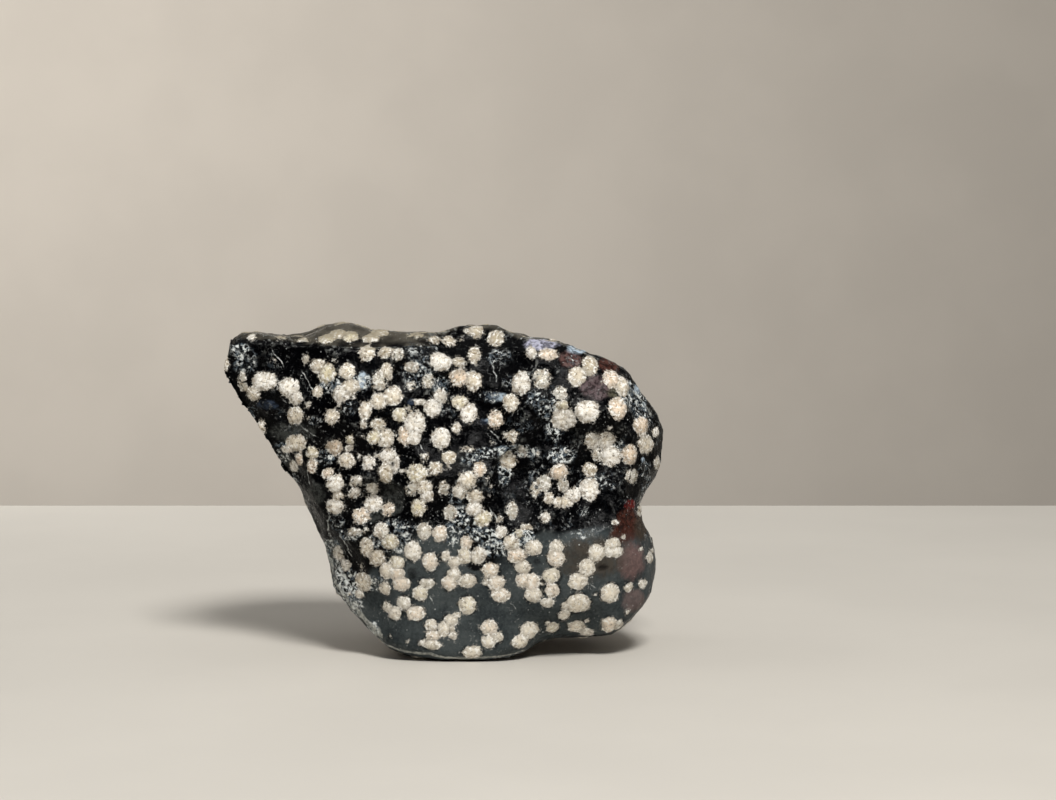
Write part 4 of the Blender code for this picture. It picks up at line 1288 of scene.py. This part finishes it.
def snowflakes(finish, look):
    """Where the snowflakes are, their colour and how far their grains stand up."""
    tint = finish.stored("flake_tint")
    own = tint.outputs["Color"]
    smooth = finish.number("smooth_face")
    spoke = finish.stored("flake_spoke").outputs["Vector"]
    direction = finish.vector("NORMALIZE", {0: spoke})
    needles = finish.noise(3.4, detail=2, place=direction) - 0.5
    petals = finish.noise(6.5, detail=2, place=direction)
    ragged = finish.noise(0.9, detail=3, roughness=0.6) - 0.5
    grain, chance = finish.cells(1.1)
    edge = flake_edge(finish, needles, ragged, grain, smooth)
    inside = 1 - edge.between(-0.14, 0.1)
    mask = flake_cover(finish, edge, inside, Value(finish, tint.outputs["Alpha"]), smooth)
    depth = edge + (finish.noise(1.4, detail=2) - 0.5) * 2.4
    heart = 1 - depth.between(-1.6, -0.2)
    patches = (finish.noise(1.0, detail=3, roughness=0.65) + needles * 0.4).between(0.47, 0.64)
    clefts = petals.between(0.54, 0.62) * depth.between(-1.6, -0.4)
    middle = 1 - edge.between(-2.6, -0.9)
    warmth = (1 - edge.between(-2.0, -0.5)) * finish.noise(2.3, detail=2).between(0.44, 0.6)
    specks = (finish.noise(0.85, detail=3, roughness=0.7) + needles * 0.2).between(0.56, 0.64)
    sparks = finish.noise(0.95, detail=3, roughness=0.75).between(0.52, 0.6)
    # Painted shade in the creases where two snowflakes meet
    crease_shade = (1 - (finish.number("flake_gap") + ragged * 0.5).between(0.0, 0.4)) * inside
    colour = finish.layers(
        look.white,
        (heart * 0.35 + 0.55, own),
        (chance.between(0.45, 0.95) * 0.35, look.white),
        (patches * 0.55, look.tan),
        (clefts * 0.5, look.tan),
        (grain.between(0.45, 0.7) * 0.35, look.tan),
        # Painted highlight: the middles of the snowflakes lighter, as on a lit dome
        (middle * (0.24 + smooth * 0.22), PAINTED_MIDDLE_HIGHLIGHT),
        (warmth * (0.3 + smooth * 0.25), own),
        (smooth * 0.4, SMOOTH_LIGHT),
        # Greyer towards the rim: partly the thin rim's own colour, partly painted shade of the dome
        (edge.between(-1.4, 0.0) * 0.42, RIM_GREY_AND_SHADE),
        (specks * (0.74 - smooth * 0.2), look.speck_and_crease_shade),
        (sparks * 0.82, SPARK),
        (crease_shade * 0.6, look.speck_and_crease_shade),
        # Painted shade: the snowflakes on the top face darkened to khaki
        (finish.number("bloom") * 0.85, TOP_FLAKE_SHADE),
    )
    dome = 1 - edge.between(-1.6, 0.1)
    height = mask * (0.08 + dome * 0.22 - grain * 0.12 - crease_shade * 0.12 + ragged * 0.14)
    return mask, colour, height


def frosting(finish, look):
    """The fine white lace on a frosted break, and its colour."""
    frost = finish.number("frost")
    lace = 1 - finish.borders(1.6, 1.0).between(0.03, 0.13)
    swirl = finish.noise(3.4, detail=2, roughness=0.55)
    arcs = (swirl * 26).math("SINE").between(0.45, 0.9) * finish.noise(2.4, detail=3).between(0.46, 0.58)
    mottle = finish.noise(0.95, detail=3, roughness=0.6)
    grains = mottle.between(0.54, 0.61)
    broken = finish.noise(1.6, detail=3).between(0.45, 0.55)
    cloud = (finish.noise(4.0, detail=3, roughness=0.6) + frost * 0.3).between(0.52, 0.74)
    smear = finish.noise(1.3, detail=4, roughness=0.65).between(0.5, 0.68) * frost.between(0.3, 1.2) * 0.4
    curls = (lace * broken).math("MAXIMUM", arcs)
    lines = curls.math("MAXIMUM", grains * (0.4 + broken * 0.6))
    mask = (frost * 1.3) * (lines + smear) * (0.05 + cloud * 0.95)
    uneven = finish.noise(1.7, detail=3) + (mottle - 0.5) * 1.2
    shade = (uneven + (frost - 0.9) * 0.1).between(0.42, 0.68)
    colour = finish.mix(shade, FROST_SHADOW, look.frost)
    return mask.math("MINIMUM", 1.0), colour, frost


def painted_reflection_colour(finish, look):
    """The cloudy grey painted on the smooth face in place of its reflection of the table."""
    clouds = finish.noise(9.0, detail=4, roughness=0.6).between(0.35, 0.65)
    fine = finish.noise(0.85, detail=3, roughness=0.7).between(0.35, 0.65)
    return finish.mix(clouds * 0.65 + fine * 0.35, look.painted_reflection, look.painted_reflection_pale)


def stain_and_painted_light_coat(finish, look, smooth):
    """The stains and the painted sheen, glints and shade, with dark veins, as a share and a colour."""
    stain = finish.stored("stain")
    alpha = Value(finish, stain.outputs["Alpha"])
    mottle = finish.noise(2.4, detail=4, roughness=0.65)
    strength = (alpha + (mottle - 0.5) * 1.3).between(0.15, 0.85) * alpha.between(0.02, 0.3)
    veins = finish.noise(1.3, detail=4, roughness=0.7).between(0.44, 0.58)
    return strength, finish.mix(veins * (0.75 - smooth * 0.5), stain.outputs["Color"], look.black)


def glass(finish, look):
    """The bare glass: black, with painted reflection, sheen, glints and shade, its stains, specks and worn
    ridges.
    """
    smooth = finish.number("smooth_face")
    cloudy = finish.noise(6.0, detail=3).between(0.4, 0.7)
    close = 1 - finish.number("flake_rim").between(0.15, 1.0)
    shadow = close * finish.noise(3.4, detail=3).between(0.44, 0.6)
    # Painted sheen: the top face greyed towards greige in place of its reflection of the wall
    bloom = finish.number("bloom") * (0.5 + finish.noise(4.0, detail=3).between(0.35, 0.6) * 0.5)
    distance, chance = finish.cells(1.9)
    dots = (1 - distance.between(0.08, 0.27)) * chance.between(0.55, 0.95)
    cover = finish.noise(5.0, detail=3).between(0.46, 0.66) * (1 - smooth * 0.25)
    grit = finish.noise(0.8, detail=2, roughness=0.6).between(0.6, 0.7) * cover
    ragged = finish.noise(0.9, detail=3).between(0.42, 0.62)
    worn = finish.number("ridge").between(0.06, 0.24) * ragged * 0.4
    beside = abs(finish.number("scratch_beside") + (finish.noise(2.4, detail=3) - 0.5) * 1.6)
    line = (1 - beside.between(0.05, 0.2)) * finish.number("scratch_along")
    beyond = finish.number("worn_beyond") + (finish.noise(1.6, detail=3, roughness=0.6) - 0.5) * 1.2
    rubbed = (1 - beyond.between(-0.15, 0.2)) * finish.number("worn_strength") * (0.45 + ragged * 0.55)
    colour = finish.layers(
        look.black,
        (cloudy * 0.6, DEEP_BLACK),
        # Painted reflection of the table on the smooth face
        (smooth, painted_reflection_colour(finish, look)),
        (shadow * 0.8, look.black),
        (bloom, look.bloom),
        stain_and_painted_light_coat(finish, look, smooth),
        (grit * 0.6, GRIT),
        (dots * 0.7, look.frost),
        (worn, RIDGE),
        (line * (0.1 + ragged * 0.6), look.frost),
        (rubbed, look.rubbed),
    )
    return colour, (dots + grit + worn + line + rubbed).math("MINIMUM", 1.0), smooth


def obsidian(look):
    """Black volcanic glass with its snowflakes, frosted breaks, stains and painted reflection, sheen,
    glints and shade.
    """
    finish = Finish("obsidian")
    bare, marks, smooth = glass(finish, look)
    frost_mask, frost_colour, frost = frosting(finish, look)
    flake_mask, flake_colour, flake_height = snowflakes(finish, look)
    coats = ((frost_mask, frost_colour), (flake_mask, flake_colour), (finish.number("pit"), PIT_BLACK))
    uneven = finish.noise(3.5, detail=3) * 0.06
    rough = look.gloss + uneven + smooth * 0.05 + frost * 0.12 + marks * 0.3 + frost_mask * 0.25
    matt = 0.52 + finish.noise(0.8, detail=1) * 0.2 - smooth * 0.1
    waves = (finish.number("rib_place") * (2 * math.pi / RIB_WAVE_MM)).math("SINE")
    ribs = waves * finish.number("rib_height") * 0.008
    crackle = finish.noise(1.1, detail=4, roughness=0.65) * (frost * 0.3 + (1 - smooth) * 0.2)
    ripple = finish.noise(2.6, detail=2, distortion=0.4) * 0.035
    relief = ribs + crackle + ripple + frost_mask * 0.03 + flake_height
    bump = finish.add("ShaderNodeBump", None, {"Strength": 1.0, "Distance": MM, "Height": relief})
    inputs = {
        "Base Color": finish.layers(bare, *coats),
        "Roughness": rough + flake_mask * (matt - rough),
        "Normal": bump.outputs[0],
        "IOR": GLASS_IOR,
        "Specular IOR Level": GLASS_SPECULAR,
    }
    for name, value in inputs.items():
        finish.feed(finish.shader.inputs[name], value)
    return finish.material


def make_stone(sizes, look):
    """The dressed stone."""
    piece = fine_copy(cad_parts["stone"], "obsidian_stone", sizes)
    skin = Skin(piece.data)
    spread = random.Random(sizes.seed + 1)
    raise_top(skin)
    flatten_edge(skin)
    break_surface(skin, sizes)
    hidden = hidden_from_front(skin)
    flakes = face_flakes(skin, spread) + far_flakes(skin, hidden, spread, look.cover)
    colours = {name: getattr(look, name) for name in SNOWFLAKES}
    lay_flakes(skin, flakes, colours, sizes.swelling, spread)
    frost = lay_frost(skin, hidden)
    roughen(skin, frost)
    lay_stains_and_painted_light(skin)
    lay_scratches(skin)
    lay_edges(skin)
    lay_pits(skin)
    stand_on_ground(skin)
    skin.refresh()
    skin.store("smooth_face", smooth_face(skin))
    skin.store("bloom", top_face(skin, hidden))
    skin.store("ridge", ridges(skin, RIDGE_PASSES))
    piece.data.shade_smooth()
    piece.data.materials.clear()
    piece.data.materials.append(obsidian(look))
    return piece


class OBSIDIAN_OT_stone(Operator):
    """Builds the dressed stone over its plain solid"""

    bl_idname = "obsidian.stone"
    bl_label = "Stone"

    def execute(self, context):
        piece = make_stone(context.scene.obsidian_skin, context.scene.obsidian_glass)
        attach(piece, "root")
        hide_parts("stone")
        return {"FINISHED"}


def plain_finish(name, colour, roughness, unevenness):
    """A plain matt paint, a little uneven."""
    finish = Finish(name)
    cloudy = finish.noise(90.0, detail=4).between(0.3, 0.7)
    darker = [part * (1 - unevenness) for part in colour]
    finish.feed(finish.shader.inputs["Base Color"], finish.mix(cloudy, darker, colour))
    finish.shader.inputs["Roughness"].default_value = roughness
    return finish.material


def slab(name, low, high, bevel):
    """A box between two corners, with its edges taken off."""
    bm = bmesh.new()
    bmesh.ops.create_cube(bm, size=1)
    size = [top - bottom for bottom, top in zip(low, high)]
    middle = [(top + bottom) / 2 for bottom, top in zip(low, high)]
    bmesh.ops.scale(bm, vec=size, verts=bm.verts)
    bmesh.ops.translate(bm, vec=middle, verts=bm.verts)
    bmesh.ops.bevel(
        bm, geom=bm.edges, offset=bevel, segments=4, profile=0.5, affect="EDGES", material=-1
    )
    mesh = bpy.data.meshes.new(name)
    bm.to_mesh(mesh)
    bm.free()
    piece = bpy.data.objects.new(name, mesh)
    bpy.context.scene.collection.objects.link(piece)
    return piece


def area_light(name, power, size, place, aim, spread):
    """A square lamp at a place, turned to what it lights."""
    lamp = bpy.data.lights.new(name, "AREA")
    lamp.energy = power
    lamp.size = size
    lamp.color = LAMP_COLOUR
    lamp.spread = math.radians(spread)
    lamp_object = bpy.data.objects.new(name, lamp)
    lamp_object.location = place
    lamp_object.rotation_euler = (Vector(aim) - Vector(place)).to_track_quat("-Z", "Y").to_euler()
    bpy.context.scene.collection.objects.link(lamp_object)


def make_camera():
    """The camera at the eye's place, with a long lens."""
    data = bpy.data.cameras.new("camera")
    data.lens = LENS_MM
    data.sensor_width = SENSOR_MM
    camera = bpy.data.objects.new("camera", data)
    camera.location = EYE
    camera.rotation_euler = (math.pi / 2 - VIEW_PITCH, 0, 0)
    bpy.context.scene.collection.objects.link(camera)
    bpy.context.scene.camera = camera


# The stage: the table's half width, its front, how far away the walls stand and how high they go
TABLE_HALF = 1.25
TABLE_FRONT = -1.2
TABLE_THICKNESS = 0.03
WALL_DISTANCE = 1.5
WALL_THICKNESS = 0.05
WALL_FOOT = -0.6
WALL_TOP = 0.42
BACK_WALL_TOP = 1.0

# Paints: roughness and unevenness
TABLE_PAINT = (0.6, 0.04)
WALL_PAINT = (0.8, 0.05)

# Lamps: name, which power of the stage, size, place, what it is turned to, spread in degrees
STONE_MIDDLE = (0, 0, 0.045)
LAMPS = (
    ("key_light", "key", 0.30, (0.20, -0.65, 0.97), STONE_MIDDLE, 180),
    ("overhead_light", "overhead", 1.0, (0.0, 0.1, 1.15), STONE_MIDDLE, 180),
    ("wall_light", "wall_light", 0.6, (-0.9, 0.45, 0.55), (0.05, 1.5, 0.0), 125),
    ("side_light", "side_light", 0.4, (-0.55, 0.18, 0.55), (-0.42, 0.14, 0.0), 110),
)
LAMP_COLOUR = (1, 0.985, 0.96)
SKY_COLOUR = (0.9, 0.95, 1.0, 1)
SKY_STRENGTH = 0.08


def make_stage(look):
    """A pale table, plain walls round it, soft lamps and the camera."""
    table = slab(
        "table", (-TABLE_HALF, TABLE_FRONT, -TABLE_THICKNESS), (TABLE_HALF, look.table_depth, 0), 0.002
    )
    table.data.materials.append(plain_finish("table_paint", look.table, *TABLE_PAINT))
    far = WALL_DISTANCE
    thick = far + WALL_THICKNESS
    walls = (
        ("back_wall", (-thick, far, WALL_FOOT), (thick, thick, BACK_WALL_TOP)),
        ("front_wall", (-thick, -thick, WALL_FOOT), (thick, -far, WALL_TOP)),
        ("left_wall", (-thick, -far, WALL_FOOT), (-far, far, WALL_TOP)),
        ("right_wall", (far, -far, WALL_FOOT), (thick, far, WALL_TOP)),
    )
    paint = plain_finish("wall_paint", look.wall, *WALL_PAINT)
    for name, low, high in walls:
        slab(name, low, high, 0.004).data.materials.append(paint)
    for name, power, *rest in LAMPS:
        area_light(name, getattr(look, power), *rest)
    light_sky()
    bpy.context.scene.view_settings.view_transform = "Standard"
    make_camera()


def light_sky():
    """Gives the world a weak even light."""
    world = bpy.data.worlds.new("studio")
    world.use_nodes = True
    background = world.node_tree.nodes["Background"]
    background.inputs["Color"].default_value = SKY_COLOUR
    background.inputs["Strength"].default_value = SKY_STRENGTH
    bpy.context.scene.world = world


class OBSIDIAN_OT_stage(Operator):
    """Builds the table, the walls, the lights and the camera"""

    bl_idname = "obsidian.stage"
    bl_label = "Stage"

    def execute(self, context):
        make_stage(context.scene.obsidian_stage)
        return {"FINISHED"}


class OBSIDIAN_PT_panel(Panel):
    """Lists the steps and what a user would change"""

    bl_label = "Snowflake obsidian"
    bl_space_type = "VIEW_3D"
    bl_region_type = "UI"
    bl_category = "Obsidian"

    def draw(self, context):
        for name, operator in (("skin", "stone"), ("glass", None), ("stage", "stage")):
            group = getattr(context.scene, f"obsidian_{name}")
            box = self.layout.box()
            for key in group.__annotations__:
                box.prop(group, key)
            if operator:
                box.operator(f"obsidian.{operator}")


CLASSES = (
    OBSIDIAN_PG_skin, OBSIDIAN_PG_glass, OBSIDIAN_PG_stage,
    OBSIDIAN_OT_stone, OBSIDIAN_OT_stage, OBSIDIAN_PT_panel,
)


def register():
    for item in CLASSES:
        bpy.utils.register_class(item)
    bpy.types.Scene.obsidian_skin = PointerProperty(type=OBSIDIAN_PG_skin)
    bpy.types.Scene.obsidian_glass = PointerProperty(type=OBSIDIAN_PG_glass)
    bpy.types.Scene.obsidian_stage = PointerProperty(type=OBSIDIAN_PG_stage)


def unregister():
    del bpy.types.Scene.obsidian_stage
    del bpy.types.Scene.obsidian_glass
    del bpy.types.Scene.obsidian_skin
    for item in reversed(CLASSES):
        bpy.utils.unregister_class(item)


def main():
    """Registers the add-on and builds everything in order."""
    register()
    bpy.ops.obsidian.stone()
    bpy.ops.obsidian.stage()


if __name__ == "__main__":
    main()
